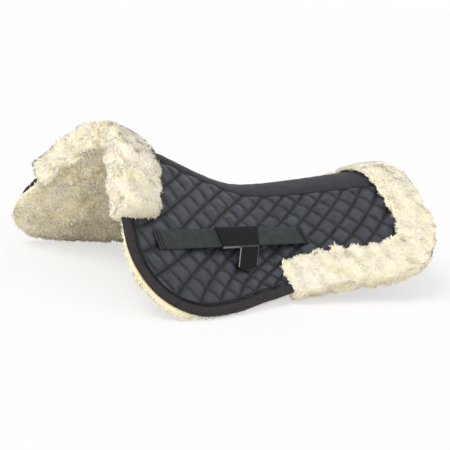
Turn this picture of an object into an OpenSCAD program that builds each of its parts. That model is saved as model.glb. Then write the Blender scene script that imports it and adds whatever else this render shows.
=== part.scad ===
// Quilted saddle half pad: two padded panels over a horse's back, joined along the
// spine, with a fleece lining, and with fleece rolls over the pommel and the cantle.
//
// X runs from the pommel (-) to the cantle (+), the left panel lies at -Y and Z is up.
// The origin is on the floor, under the middle of the whole pad.
//
// A place on the pad is written [x, t]: x along the spine and t the distance down the
// cover from the spine, positive on the left. A height o is measured outwards from the
// underside of the cover. skin() turns the two into a point in space.

/* [Outline] */
// Length of the cover along the spine, between the pommel's and the cantle's edges
pad_l = 533; // [510:1:550]
// Distance down the cover from the spine to the lowest point of its edge
panel_drop = 280; // [268:1:290]

/* [Topline] */
// Slope of the spine up to the pommel
pommel_rise = 0.37; // [0.3:0.002:0.44]
// Slope of the spine up to the cantle
cantle_rise = 0.12; // [0.04:0.002:0.15]
// How softly the two slopes blend in the dip
dip_blend = 46; // [40:1:80]
// Where the dip lies along the pad
dip_x = -6; // [-30:1:20]

/* [Cross section] */
// Distance down the cover over which it turns over the spine
crown_turn = 36; // [30:1:44]
// Steepness of the panel below the spine at the pommel, degrees
pommel_steep = 46; // [40:0.5:46.5]
// Steepness of the panel below the spine at the cantle, degrees
cantle_steep = 25; // [16:1:34]
// Steepness of the panel at its lower edge at the pommel, degrees
pommel_flare = 49; // [46.5:0.5:54]
// Steepness of the panel at its lower edge at the cantle, degrees
cantle_flare = 41; // [38:1:50]

/* [Cover, wadding and lining] */
// Thickness of the quilted cover
cover_t = 1.2; // [0.8:0.1:2]
// Height of a quilted puff above its seams
puff_h = 4.6; // [2:0.1:6]
// Squares of quilting along the pad, in half diagonals
quilt_cols = 26; // [20:2:30]
// Squares of quilting down the panel, in half diagonals
quilt_rows = 11; // [9:2:13]
// Thickness of the wadding
wadding_t = 5.4; // [4:0.1:8]
// Thickness of the fleece lining
fleece_t = 12; // [10:0.5:16]
// Thickness of the fleece where the binding pinches it
fleece_edge_t = 3.5; // [2:0.5:6]
// How far the lining's fleece stands out past the front edge
fleece_peek = 12; // [4:1:14]

/* [Spine tape] */
// Half the width of the spine tape at the pommel
tape_front = 20; // [16:1:24]
// Half the width of the spine tape at the cantle
tape_rear = 42; // [32:1:46]
// Thickness of the spine tape
tape_t = 2.4; // [1.5:0.1:3]
// Thickness of the fleece strip under the spine
spine_strip_t = 12; // [8:1:16]

/* [Binding] */
// Width of the binding on the cover
binding_w = 16; // [12:1:17]
// Thickness of the binding
binding_t = 1.6; // [1.2:0.1:2]
// Radius of the piping along the binding
piping_r = 1.3; // [1:0.1:1.6]

/* [Fleece rolls] */
// Width of the pommel roll, from its foot on the cover to the pad's edge
pommel_roll_foot = 61; // [50:1:70]
// Height of the pommel roll over the cover's puffs, at the spine
pommel_crown_h = 16; // [12:1:24]
// The same height at the pommel roll's lower end
pommel_roll_h = 12; // [8:1:20]
// How much fuller the pommel roll is halfway down
pommel_belly = 10; // [0:1:12]
// Width of the cantle roll at its front end, from its foot on the cover to the pad's edge
cantle_roll_foot = 46; // [40:1:52]
// The same width at the middle of the cantle
cantle_crown_foot = 56; // [46:1:60]
// Height of the cantle roll over the cover's puffs
cantle_roll_h = 11; // [8:1:18]
// How far both rolls bulge past the pad's edge
roll_bulge = 20; // [15:1:24]
// Where the pommel roll ends, down the cover
pommel_roll_end = 167; // [145:1:170]
// Slant of the pommel roll's lower end, per mm of its width
pommel_roll_slant = 0.5; // [0:0.05:0.7]
// Where the cantle roll starts along the pad
cantle_roll_start = 4; // [-10:1:30]

/* [Billet strap] */
// Front end of the strap along the pad
strap_front_x = -229; // [-232:1:-210]
// Front end of the strap down the cover
strap_front_t = 182; // [174:1:188]
// Rear end of the strap along the pad
strap_rear_x = 65; // [50:1:80]
// Rear end of the strap down the cover
strap_rear_t = 114; // [104:1:122]
// Width of the webbing
strap_w = 31; // [25:1:34]
// Thickness of the webbing
strap_t = 1.8; // [1.4:0.1:2.4]
// Length of the bar tack at each end
tack_l = 6; // [4:1:10]
// Thickness of the bar tacks
tack_t = 1; // [0.8:0.1:1.6]
// Webbing left beside the bar tacks
tack_edge = 1; // [0.5:0.5:3]

/* [Tab] */
// Length of the keeper sleeve along the webbing's lower edge
sleeve_l = 70; // [50:1:76]
// Where the sleeve sits, as a share of the strap's length from its front end
sleeve_at = 0.51; // [0.45:0.01:0.56]
// Wall of the sleeve
sleeve_wall = 1.2; // [0.8:0.1:1.6]
// Clearance of the sleeve round the webbing
sleeve_gap = 1; // [0.8:0.1:1.4]
// Width of the hanging leg
leg_w = 33; // [26:1:34]
// Length of the hanging leg below the sleeve
leg_l = 42; // [36:1:50]
// Thickness of the leg
leg_t = 2; // [1.4:0.1:2.6]
// Where the leg hangs, behind the middle of the sleeve
leg_at = 16; // [12:1:17]
// Slant of the leg towards the pommel, degrees
leg_slant = 25; // [10:1:28]
// Thickness of the hook patch and of the loop patch
patch_t = 1.6; // [1:0.1:1.8]
// Length of both patches down the leg
patch_l = 24; // [18:1:26]
// Width of both patches
patch_w = 25; // [18:1:26]
// Gap between the closed hook patch and the loop patch
patch_gap = 0.4; // [0.3:0.1:1]

/* [Hidden] */

// The shape of the panel's outer edge, as places [x, t], from the pommel's middle round
// the lower edge to the cantle's middle. The edge is a smooth curve through them.
edge_shape = [
    [-234, 0], [-256, 92], [-274, 170], [-274, 228], [-244, 270], [-187, 280],
    [-118, 257], [-45, 221], [25, 199], [110, 201], [190, 208], [246, 196], [281, 148],
    [296, 78], [299, 0]];
shape_l = edge_shape[14].x - edge_shape[0].x;
shape_drop = max([for (p = edge_shape) p.y]);
edge_points = [for (p = edge_shape) [p.x * pad_l / shape_l, p.y * panel_drop / shape_drop]];
// Where the edge turns from the front to the lower edge and from that to the rear,
// counted along edge_points
front_corner = 3.5;
rear_corner = 11.3;
// Steps of the curve between two edge points
edge_steps = 8;
// Margin of plain cover outside the quilting, wider than the binding and piping by this
margin_room = 3;
margin_w = binding_w + 2 * piping_r + margin_room;
// Rows of quilting above the cantle roll, and their share of the rear edge
upper_rows = 7;
upper_share = 0.84;
// Rows of the plain layers under the cover, as rows of the quilting
wadding_rows = [0, 2, 4, 6, quilt_rows - 1, quilt_rows + 1];
lining_rows = concat([0, 2, 4, 6], [for (j = [8 : quilt_rows + 1]) j]);

// Gap between neighbouring soft pieces
fit = 0.3;
// Gap between layers whose facets differ
layer_fit = 0.6;
// Half length of the pad over which its cross section changes
section_len = 300;
// Distance down the cover at which the flare angles hold
flare_t = 300;
// Depth by which soft pieces are flattened on the floor
floor_cut = 0.5;
// Length of a step along a roll or the binding
roll_step = 22;
// Length of a step along the binding
binding_step = 16;
// Gap between the pommel roll's lower end and the binding
binding_gap = 2;
// How far the piping lies over the cover, clear of the first puffs
piping_lift = 7 * fit;
// How far both patches sit above the middle of the leg's round end
patch_room = 2;
// Length of a step along the spine tape
tape_step = 28;
// Where the lining starts to stand out past the front edge, and where it stops
peek_t = [pommel_roll_end + roll_bulge * pommel_roll_slant, 250];
peek_x = [-215, -190];

wadding_low = -layer_fit - wadding_t;
fleece_top = wadding_low - layer_fit;
fleece_low = fleece_top - fleece_t;
roll_base = cover_t + puff_h + fit;
// Sewn-on webbing presses the puffs down to this share of their height
sewn_share = 0.7;
sewn_base = cover_t + sewn_share * puff_h + fit;

// ---- Places on the pad ----

function clamp01(v) = min(1, max(0, v));
function mix(a, b, f) = a + (b - a) * f;
function unit(v) = v / norm(v);
function radians(a) = a * PI / 180;
function degrees(a) = a * 180 / PI;

// Height of the spine at x: two slopes that blend in the dip
function topline(x) =
    let (d = x - dip_x, q = sqrt(d * d + dip_blend * dip_blend))
    (pommel_rise * (q - d) + cantle_rise * (q + d) - (pommel_rise + cantle_rise) * dip_blend) / 2;

// A place's distance out from the spine, its drop and its slope: one arc over the
// spine and one down the panel
function section(x, t) =
    let (f = clamp01((x + section_len) / (2 * section_len)),
         steep = mix(pommel_steep, cantle_steep, f),
         flare = mix(pommel_flare, cantle_flare, f),
         r_top = crown_turn / radians(steep),
         r_side = (flare_t - crown_turn) / radians(flare - steep),
         on_top = t < crown_turn,
         a = on_top ? degrees(t / r_top) : steep + degrees((t - crown_turn) / r_side))
    on_top
        ? [r_top * sin(a), r_top * (1 - cos(a)), a]
        : [r_top * sin(steep) + r_side * (sin(a) - sin(steep)),
           r_top * (1 - cos(steep)) + r_side * (cos(steep) - cos(a)), a];

// The point at place q = [x, t] and height o, before it is set on the floor
function raw_skin(q, o) =
    let (s = section(q.x, abs(q.y)), side = q.y < 0 ? 1 : -1)
    [q.x, side * (s[0] + o * sin(s[2])), topline(q.x) - s[1] + o * cos(s[2])];

// ---- The panel's outline ----

function spline(a, b, c, d, f) =
    (2 * b + (c - a) * f + (2 * a - 5 * b + 4 * c - d) * f * f
     + (3 * b - a - 3 * c + d) * f * f * f) / 2;
function edge_at(u) =
    let (n = len(edge_points) - 1, i = min(floor(u), n - 1), f = u - i,
         b = edge_points[i], c = edge_points[i + 1],
         a = i > 0 ? edge_points[i - 1] : [c.x, -c.y],
         d = i < n - 1 ? edge_points[i + 2] : [b.x, -b.y])
    spline(a, b, c, d, f);
edge_us = [for (k = [0 : (len(edge_points) - 1) * edge_steps]) k / edge_steps];
edge_curve = [for (u = edge_us) edge_at(u)];
// Distance along the edge at each point of the curve
function running(points, i = 0, sum = 0, out = []) =
    i == len(points) ? out
        : let (s = i == 0 ? 0 : sum + norm(points[i] - points[i - 1]))
          running(points, i + 1, s, concat(out, [s]));
edge_s = running(edge_curve);
x_table = [for (k = [0 : len(edge_s) - 1]) [edge_s[k], edge_curve[k].x]];
t_table = [for (k = [0 : len(edge_s) - 1]) [edge_s[k], edge_curve[k].y]];
u_table = [for (k = [0 : len(edge_s) - 1]) [edge_us[k], edge_s[k]]];
function edge(s) = [lookup(s, x_table), lookup(s, t_table)];
// Direction out of the panel at distance s along its edge
function edge_out(s) =
    let (reach = 6, d = unit(edge(s + reach) - edge(s - reach))) [-d.y, d.x];
// The place w outwards from the edge
function beside(s, w) = edge(s) + w * edge_out(s);

front_corner_s = lookup(front_corner, u_table);
rear_corner_s = lookup(rear_corner, u_table);
s_end = edge_s[len(edge_s) - 1];
// Distances along the edge at which the front edge reaches t, the lower edge reaches
// x, and the rear edge reaches t
front_table = [for (k = [0 : 2 * edge_steps]) [edge_curve[k].y, edge_s[k]]];
lower_table = [for (k = [5 * edge_steps : 11 * edge_steps]) [edge_curve[k].x, edge_s[k]]];
rear_table = [for (k = [len(edge_s) - 1 : -1 : len(edge_s) - 1 - 2 * edge_steps])
    [edge_curve[k].y, edge_s[k]]];
front_in_s = lookup(tape_front, front_table);
rear_in_s = lookup(tape_rear, rear_table);
roll_end_s = lookup(pommel_roll_end, front_table);
roll_start_s = lookup(cantle_roll_start, lower_table);

// ---- The panel's grid ----

cols = quilt_cols + 2;
rows = quilt_rows + 1;
lower_len = rear_corner_s - front_corner_s;
front_len = front_corner_s - front_in_s;
rear_len = rear_in_s - rear_corner_s;
// Shares of the way along the grid: the margin's cells are narrower than the quilting's
side_share = margin_w / lower_len;
low_share = margin_w / front_len;
col_at = [for (i = [0 : cols])
    i == 0 ? 0 : i == cols ? 1 : mix(side_share, 1 - side_share, (i - 1) / (cols - 2))];
front_row = [for (j = [0 : rows]) j == rows ? 1 : (1 - low_share) * j / (rows - 1)];
rear_row = [for (j = [0 : rows]) j <= upper_rows
    ? upper_share * j / upper_rows
    : mix(upper_share, 1, (j - upper_rows) / (rows - upper_rows))];
front_top = edge(front_in_s);
rear_top = edge(rear_in_s);
front_low = edge(front_corner_s);
rear_low = edge(rear_corner_s);
// The place at column i and row j, spread evenly between the four edges
function place(i, j) =
    let (u = col_at[i], v = (front_row[j] + rear_row[j]) / 2)
    mix(mix(front_top, rear_top, u), edge(mix(front_corner_s, rear_corner_s, u)), v)
    + mix(edge(mix(front_in_s, front_corner_s, front_row[j])),
          edge(mix(rear_in_s, rear_corner_s, rear_row[j])), u)
    - mix(mix(front_top, rear_top, u), mix(front_low, rear_low, u), v);
places = [for (j = [0 : rows]) [for (i = [0 : cols]) place(i, j)]];
// Every second crossing of the grid is the top of a puff
function puff(i, j) =
    (i + j) % 2 == 1 && i > 1 && i < cols - 1 && j > 0 && j < rows - 1 ? puff_h : 0;

function on_edge(i, j) = i == 0 || i == cols || j == rows;
// How far the lining stands out past the edge at distance s
function peek(s) =
    let (q = edge(s))
    fleece_peek * clamp01((q.y - peek_t[0]) / (peek_t[1] - peek_t[0]))
    * clamp01((peek_x[1] - q.x) / (peek_x[1] - peek_x[0]));
function lining_place(i, j) =
    i == 0 ? let (s = mix(front_in_s, front_corner_s, front_row[j])) beside(s, peek(s))
    : j == rows ? let (s = mix(front_corner_s, rear_corner_s, col_at[i])) beside(s, peek(s))
    : places[j][i];

// ---- Grids of raw points, row by row, for each layer ----

cover_low_grid = [for (j = [0 : rows]) [for (i = [0 : cols]) raw_skin(places[j][i], 0)]];
cover_top_grid = [for (j = [0 : rows]) [for (i = [0 : cols])
    raw_skin(places[j][i], cover_t + puff(i, j))]];
wadding_low_grid = [for (j = wadding_rows) [for (i = [0 : cols])
    raw_skin(places[j][i], wadding_low)]];
wadding_top_grid = [for (j = wadding_rows) [for (i = [0 : cols])
    raw_skin(places[j][i], -layer_fit)]];
lining_low_grid = [for (j = lining_rows) [for (i = [0 : cols])
    raw_skin(lining_place(i, j), on_edge(i, j) ? fleece_top - fleece_edge_t : fleece_low)]];
lining_top_grid = [for (j = lining_rows) [for (i = [0 : cols])
    raw_skin(lining_place(i, j), fleece_top)]];

// ---- Strips along the edge: a roll or a binding is a band of two profiles ----

// Distances of the stations of a strip from s0 to s1
function stations(s0, s1, step = roll_step) =
    let (n = ceil(abs(s1 - s0) / step)) [for (k = [0 : n]) mix(s0, s1, k / n)];
// A profile is a list of [w, o]: w outwards from the edge and o the height
function ring(profile, s) = [for (p = profile) raw_skin(beside(s, p[0]), p[1])];
function strip(profile, along) = [for (s = along) ring(profile, s)];

// The roll's inner face lies on the puffs and wraps the edge; its outer face is full
function roll_inner(foot) = [
    [-foot, roll_base], [-0.6 * foot, roll_base], [-0.2 * foot, roll_base],
    [fit + 1, roll_base], [fit + 1, 0], [fit + 1, fleece_top],
    [fit + 1, fleece_low + fleece_t / 3], [fit + 1, fleece_low]];
function roll_outer(foot, h) = [
    [-foot - 1, roll_base + 0.3 * h], [-0.86 * foot, roll_base + 0.82 * h],
    [-0.4 * foot, roll_base + h], [0.25 * roll_bulge, roll_base + 0.92 * h],
    [0.85 * roll_bulge, roll_base + 0.35 * h], [roll_bulge, 0.5 * fleece_top],
    [0.8 * roll_bulge, fleece_low + fleece_t / 3], [0.3 * roll_bulge, fleece_low - 1]];

// How far a place is down the pommel roll and along the cantle roll, as a share
function pommel_share(s) = (s - front_in_s) / (roll_end_s - front_in_s);
function cantle_share(s) = (s - roll_start_s) / (rear_in_s - roll_start_s);
// The pommel roll's lower end slants
function slanted(profile, s) = [for (p = profile)
    raw_skin(beside(s, p[0]) + [0, pow(pommel_share(s), 2) * pommel_roll_slant * p[0]], p[1])];
pommel_stations = stations(front_in_s + fit, roll_end_s);
pommel_inner = [for (s = pommel_stations) slanted(roll_inner(pommel_roll_foot), s)];
function pommel_h(f) = mix(pommel_crown_h, pommel_roll_h, f) + 4 * f * (1 - f) * pommel_belly;
pommel_outer = [for (s = pommel_stations)
    slanted(roll_outer(pommel_roll_foot, pommel_h(pommel_share(s))), s)];
// The cantle roll gets wider towards the spine
function cantle_foot(s) = mix(cantle_roll_foot, cantle_crown_foot, cantle_share(s));
cantle_stations = stations(roll_start_s, rear_in_s - fit);
cantle_inner = [for (s = cantle_stations) ring(roll_inner(cantle_foot(s)), s)];
cantle_outer = [for (s = cantle_stations) ring(roll_outer(cantle_foot(s), cantle_roll_h), s)];

// The binding folds over the edge of the cover and the wadding
binding_stations = stations(roll_end_s + binding_gap, roll_start_s - fit, binding_step);
binding_lip = cover_t + layer_fit;
binding_inner = strip([[-binding_w, binding_lip], [fit, binding_lip], [fit, wadding_low]],
    binding_stations);
binding_outer = strip([[-binding_w, binding_lip + binding_t], [fit + binding_t,
    binding_lip + binding_t], [fit + binding_t, wadding_low]], binding_stations);

// ---- Floor and middle ----

function lowest(grid) = min([for (line = grid) for (p = line) p.z]);
function min_x(grid) = min([for (line = grid) for (p = line) p.x]);
function max_x(grid) = max([for (line = grid) for (p = line) p.x]);
floor_z = min(lowest(cantle_outer), lowest(binding_inner), lowest(lining_low_grid)) + floor_cut;
mid_x = (min(min_x(pommel_outer), min_x(lining_low_grid)) + max_x(cantle_outer)) / 2;
// A raw point, or a grid of them, set down on the floor
function seat(p) = [p.x - mid_x, p.y, p.z - floor_z];
function seated(grid) = [for (line = grid) [for (p = line) seat(p)]];
function skin(q, o) = seat(raw_skin(q, o));

// A roll's crown carries the roll's end section over the spine; dir is the side on
// which it starts
crown_steps = 4;
function crown(profile, s, dir) =
    [for (k = [0 : crown_steps]) let (f = dir * (1 - 2 * k / crown_steps))
        [for (p = profile) let (q = beside(s, p[0])) skin([q.x, f * (q.y - fit)], p[1])]];

// A band over the spine, between the two panels, at height o
spine_steps = ceil((rear_top.x - front_top.x) / tape_step);
function spine_band(o) =
    [for (k = [0 : spine_steps]) let (q = mix(front_top, rear_top, k / spine_steps))
        [for (f = [1, 0.5, 0, -0.5, -1]) skin([q.x, f * (q.y - fit)], o)]];

// ---- Strap, sleeve and tab ----

strap_lift = sewn_base + strap_t / 2;
strap_a = skin([strap_front_x, strap_front_t], strap_lift);
strap_b = skin([strap_rear_x, strap_rear_t], strap_lift);
function down(q) = unit(skin(q + [0, 1], 0) - skin(q - [0, 1], 0));
strap_down_a = down([strap_front_x, strap_front_t]);
strap_down_b = down([strap_rear_x, strap_rear_t]);
strap_dir = unit(strap_b - strap_a);
strap_len = norm(strap_b - strap_a);
// Across the webbing at share f of its length, square to it, and out of its face
function strap_across(f) =
    let (d = mix(strap_down_a, strap_down_b, f)) unit(d - (d * strap_dir) * strap_dir);
function strap_out(f) = cross(strap_across(f), strap_dir);
strap_cells = 10;
function strap_side(z) = [for (k = [0 : strap_cells]) let (f = k / strap_cells)
    [for (e = [-1, 1]) mix(strap_a, strap_b, f) + e * strap_w / 2 * strap_across(f)
        + z * strap_out(f)]];

// A frame with its X axis down the panel, Y along the strap and Z out of its face
module frame_at(origin, across, dir) {
    out = cross(across, dir);
    multmatrix([[across.x, dir.x, out.x, origin.x],
                [across.y, dir.y, out.y, origin.y],
                [across.z, dir.z, out.z, origin.z],
                [0, 0, 0, 1]]) children();
}
module strap_frame(f) {
    frame_at(mix(strap_a, strap_b, f), strap_across(f), strap_dir) children();
}
sleeve_half_w = strap_w / 2 + sleeve_gap + sleeve_wall;
sleeve_half_t = strap_t / 2 + sleeve_gap + sleeve_wall;
// The fold of the leg lies just below the sleeve, at its outer face, with room for the
// leg's inner corner as it leans in
leg_room = fit + 0.3 * leg_t;
leg_fold = [sleeve_half_w + leg_room, leg_at, sleeve_half_t];
// The leg hangs aslant and ends in a half round
leg_dir = [cos(leg_slant), -sin(leg_slant)];
leg_side = [sin(leg_slant), cos(leg_slant)];
leg_end = (leg_l - leg_w / 2) * leg_dir;
leg_outline = concat(
    [[0, leg_w / 2 / cos(leg_slant)], [0, -leg_w / 2 / cos(leg_slant)]],
    [for (a = [-90 : 15 : 90])
        leg_end + leg_w / 2 * (leg_side * sin(a) + leg_dir * cos(a))]);
// The patches' middle, on the leg
patch_mid = (leg_l - leg_w / 2 - patch_room) * leg_dir;
// The place on the cover under the patches, and how far it lies below the fold
strap_q = mix([strap_front_x, strap_front_t], [strap_rear_x, strap_rear_t], sleeve_at);
strap_q_dir = unit([strap_rear_x - strap_front_x, strap_rear_t - strap_front_t]);
loop_q = strap_q + (leg_fold.x + patch_mid.x) * [-strap_q_dir.y, strap_q_dir.x]
    + (leg_fold.y + patch_mid.y) * strap_q_dir;
loop_rest = skin(loop_q, sewn_base) - mix(strap_a, strap_b, sleeve_at);
loop_down = loop_rest * strap_across(sleeve_at) - leg_fold.x;
loop_drop = leg_fold.z - loop_rest * strap_out(sleeve_at);
// The leg leans in until its hook patch lies over the loop patch
leg_stack = leg_t + 2 * patch_t + patch_gap;
leg_lean = atan((loop_drop - leg_stack) / loop_down);
module leg_frame() {
    strap_frame(sleeve_at) translate(leg_fold) rotate([0, leg_lean, 0]) children();
}

// ---- Solids ----

// A closed solid between two grids of points; each cell is split along the diagonal
// that joins the quilting's seam crossings
module slab(lower, upper) {
    n = len(lower) - 1;
    m = len(lower[0]) - 1;
    function id(j, i) = j * (m + 1) + i;
    base = (n + 1) * (m + 1);
    cell = function (j, i, b) (i + j) % 2 == 0
        ? [[b + id(j, i), b + id(j, i + 1), b + id(j + 1, i + 1)],
           [b + id(j, i), b + id(j + 1, i + 1), b + id(j + 1, i)]]
        : [[b + id(j, i), b + id(j, i + 1), b + id(j + 1, i)],
           [b + id(j, i + 1), b + id(j + 1, i + 1), b + id(j + 1, i)]];
    flip = function (f) [f[2], f[1], f[0]];
    rim = concat([for (i = [0 : m - 1]) id(0, i)], [for (j = [0 : n - 1]) id(j, m)],
        [for (i = [m : -1 : 1]) id(n, i)], [for (j = [n : -1 : 1]) id(j, 0)]);
    top = [for (j = [0 : n - 1]) for (i = [0 : m - 1]) each cell(j, i, base)];
    bottom = [for (j = [0 : n - 1]) for (i = [0 : m - 1]) for (f = cell(j, i, 0)) flip(f)];
    sides = [for (k = [0 : len(rim) - 1]) let (a = rim[k], b = rim[(k + 1) % len(rim)])
        each [[a, b, b + base], [a, b + base, a + base]]];
    points = [for (line = concat(lower, upper)) each line];
    polyhedron(points = points, faces = [for (f = concat(top, bottom, sides)) flip(f)]);
}

// What reaches below the floor is cut flat
module cut_flat() {
    wide = 2 * pad_l;
    difference() {
        children();
        translate([-wide / 2, -wide / 2, -wide]) cube([wide, wide, wide]);
    }
}

module outer_panel() {
    color("#3c3c41") slab(seated(cover_low_grid), seated(cover_top_grid));
}

module wadding() {
    color("#e8e8e8") slab(seated(wadding_low_grid), seated(wadding_top_grid));
}

module fleece_lining() {
    color("#efe4c0") cut_flat() slab(seated(lining_low_grid), seated(lining_top_grid));
}

module front_roll() {
    color("#f3ebd0") slab(seated(pommel_inner), seated(pommel_outer));
}

module rear_roll() {
    color("#f3ebd0") cut_flat() slab(seated(cantle_inner), seated(cantle_outer));
}

module lower_binding() {
    color("#38353a") slab(seated(binding_inner), seated(binding_outer));
}

// A cord of six sides, in the corner between the binding and the first puffs
module edge_piping() {
    w = -binding_w - piping_r - fit;
    o = cover_t + piping_r + piping_lift;
    r = piping_r;
    function half(e) = seated(strip(
        [[w - r, o + e * r / 3], [w, o + e * r], [w + r, o + e * r / 3]], binding_stations));
    color("#2a282b") slab(half(-1), half(1));
}

module billet_strap() {
    color("#2c3033") slab(strap_side(-strap_t / 2), strap_side(strap_t / 2));
}

// A bar tack across the webbing, near each end
module strap_tacks() {
    color("#1e2022") for (end = [0, 1]) strap_frame(end)
        translate([tack_edge - strap_w / 2, (end == 0 ? 0.5 : -1.5) * tack_l, strap_t / 2 + fit])
            cube([strap_w - 2 * tack_edge, tack_l, tack_t]);
}

// The sleeve's front end is square to the webbing and its rear end follows the leg
module keeper_sleeve() {
    w = sleeve_half_w;
    color("#202224") strap_frame(sleeve_at) difference() {
        translate([0, 0, -sleeve_half_t]) linear_extrude(2 * sleeve_half_t) polygon([
            [-w, -sleeve_l / 2], [w, -sleeve_l / 2], [w, sleeve_l / 2],
            [-w, sleeve_l / 2 + 2 * w * tan(leg_slant)]]);
        translate([sleeve_wall - w, -sleeve_l, sleeve_wall - sleeve_half_t])
            cube([2 * (w - sleeve_wall), 3 * sleeve_l, 2 * (sleeve_half_t - sleeve_wall)]);
    }
}

module tab_flap() {
    color("#26282a") leg_frame() translate([0, 0, -leg_t])
        linear_extrude(leg_t) polygon(leg_outline);
}

// A patch on or under the leg, with its lower face at depth
module patch(depth) {
    leg_frame() translate([patch_mid.x, patch_mid.y, -depth]) rotate([0, 0, -leg_slant])
        translate([-patch_l / 2, -patch_w / 2, 0]) cube([patch_l, patch_w, patch_t]);
}

module hook_patch() {
    color("#17181a") patch(leg_t + patch_t);
}

module loop_patch() {
    color("#17181a") patch(leg_stack);
}

module spine_tape() {
    color("#58585e") slab(spine_band(0), spine_band(tape_t));
}

module spine_lining_strip() {
    color("#efe4c0") slab(spine_band(-fit - spine_strip_t), spine_band(-fit));
}

module front_roll_crown() {
    color("#f3ebd0") slab(
        crown(roll_inner(pommel_roll_foot), front_in_s, 1),
        crown(roll_outer(pommel_roll_foot, pommel_crown_h), front_in_s, 1));
}

module rear_roll_crown() {
    color("#f3ebd0") slab(
        crown(roll_inner(cantle_crown_foot), rear_in_s, -1),
        crown(roll_outer(cantle_crown_foot, cantle_roll_h), rear_in_s, -1));
}

// The right half is the left half mirrored
module right() {
    mirror([0, 1, 0]) children();
}

outer_panel();  // left_outer_panel
wadding();  // left_wadding
fleece_lining();  // left_fleece_lining
front_roll();  // left_front_roll
rear_roll();  // left_rear_roll
lower_binding();  // left_lower_binding
edge_piping();  // left_edge_piping
billet_strap();  // left_billet_strap
strap_tacks();  // left_strap_tacks
keeper_sleeve();  // left_keeper_sleeve
tab_flap();  // left_tab_flap
hook_patch();  // left_hook_patch
loop_patch();  // left_loop_patch
right() outer_panel();  // right_outer_panel
right() wadding();  // right_wadding
right() fleece_lining();  // right_fleece_lining
right() front_roll();  // right_front_roll
right() rear_roll();  // right_rear_roll
right() lower_binding();  // right_lower_binding
right() edge_piping();  // right_edge_piping
right() billet_strap();  // right_billet_strap
right() strap_tacks();  // right_strap_tacks
right() keeper_sleeve();  // right_keeper_sleeve
right() tab_flap();  // right_tab_flap
right() hook_patch();  // right_hook_patch
right() loop_patch();  // right_loop_patch
spine_tape();
spine_lining_strip();
front_roll_crown();
rear_roll_crown();
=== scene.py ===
"""A quilted saddle half pad with sheepskin rolls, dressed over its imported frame."""
import logging
import math
from dataclasses import dataclass, field
from enum import Enum
from typing import Any, Callable, Dict, List, Optional, Sequence, Tuple

import bmesh
import bpy
import numpy as np
from mathutils import Matrix


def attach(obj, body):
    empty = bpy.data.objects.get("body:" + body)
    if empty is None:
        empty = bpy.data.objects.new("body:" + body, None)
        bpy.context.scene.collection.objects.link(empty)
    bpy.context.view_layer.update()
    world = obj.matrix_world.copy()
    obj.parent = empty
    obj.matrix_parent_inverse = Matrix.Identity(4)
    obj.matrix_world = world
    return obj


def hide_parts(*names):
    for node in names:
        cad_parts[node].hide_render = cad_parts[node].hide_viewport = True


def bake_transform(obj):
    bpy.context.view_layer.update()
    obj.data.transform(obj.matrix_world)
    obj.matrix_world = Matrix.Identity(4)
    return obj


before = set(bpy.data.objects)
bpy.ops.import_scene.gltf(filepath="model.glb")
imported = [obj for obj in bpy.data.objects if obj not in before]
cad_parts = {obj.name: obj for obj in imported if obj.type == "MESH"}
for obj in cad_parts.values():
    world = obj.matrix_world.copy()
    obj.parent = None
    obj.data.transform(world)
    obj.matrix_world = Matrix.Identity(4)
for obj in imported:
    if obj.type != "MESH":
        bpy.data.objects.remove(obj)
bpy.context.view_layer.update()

LOG = logging.getLogger("half_pad")
MM = 0.001
Array = np.ndarray
Fields = Dict[str, Array]
Colour = Tuple[float, float, float, float]


# ---- Materials ----

def linear(code: str) -> Colour:
    """Turns an sRGB hex colour into linear RGBA.

    Args:
        code: Six hex digits after a hash sign.

    Returns:
        The linear colour, with an alpha of 1.
    """
    parts = [int(code[k:k + 2], 16) / 255 for k in (1, 3, 5)]
    red, green, blue = (c / 12.92 if c <= 0.04045 else ((c + 0.055) / 1.055) ** 2.4
                        for c in parts)
    return red, green, blue, 1.0


def add_node(tree: bpy.types.NodeTree, kind: str, inputs: Optional[Dict[Any, Any]] = None,
             **settings: Any) -> bpy.types.Node:
    """Adds a node, sets its properties, and fills or links its inputs.

    Args:
        tree: The node tree that gets the node.
        kind: The node's type, without the ShaderNode prefix.
        inputs: A value or an output socket for each input name or number.
        settings: Properties of the node itself.

    Returns:
        The new node.
    """
    node = tree.nodes.new("ShaderNode" + kind)
    for key, value in settings.items():
        setattr(node, key, value)
    for key, value in (inputs or {}).items():
        if isinstance(value, bpy.types.NodeSocket):
            tree.links.new(value, node.inputs[key])
        else:
            node.inputs[key].default_value = value
    return node


def maths(tree: bpy.types.NodeTree, operation: str, *values: Any) -> Any:
    """Calculates with sockets and numbers.

    Args:
        tree: The node tree.
        operation: The Math node's operation.
        values: Its inputs, in order.

    Returns:
        The result's socket.
    """
    return add_node(tree, "Math", dict(enumerate(values)), operation=operation).outputs[0]


def scaled(tree: bpy.types.NodeTree, value: Any, low: float, high: float,
           to_low: float = 0.0, to_high: float = 1.0) -> Any:
    """Maps a value from one range to another.

    Args:
        tree: The node tree.
        value: The value's socket.
        low: The value that becomes to_low.
        high: The value that becomes to_high.
        to_low: The first end of the new range.
        to_high: The other end.

    Returns:
        The result's socket.
    """
    return add_node(tree, "MapRange", {"Value": value, "From Min": low, "From Max": high,
                                       "To Min": to_low, "To Max": to_high}).outputs[0]


def blended(tree: bpy.types.NodeTree, share: Any, first: Any, second: Any) -> Any:
    """Mixes two colours.

    Args:
        tree: The node tree.
        share: The second colour's share, as a socket.
        first: The first colour.
        second: The second colour.

    Returns:
        The mixed colour's socket.
    """
    return add_node(tree, "Mix", {0: share, 6: first, 7: second},
                    data_type="RGBA").outputs[2]


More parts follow.
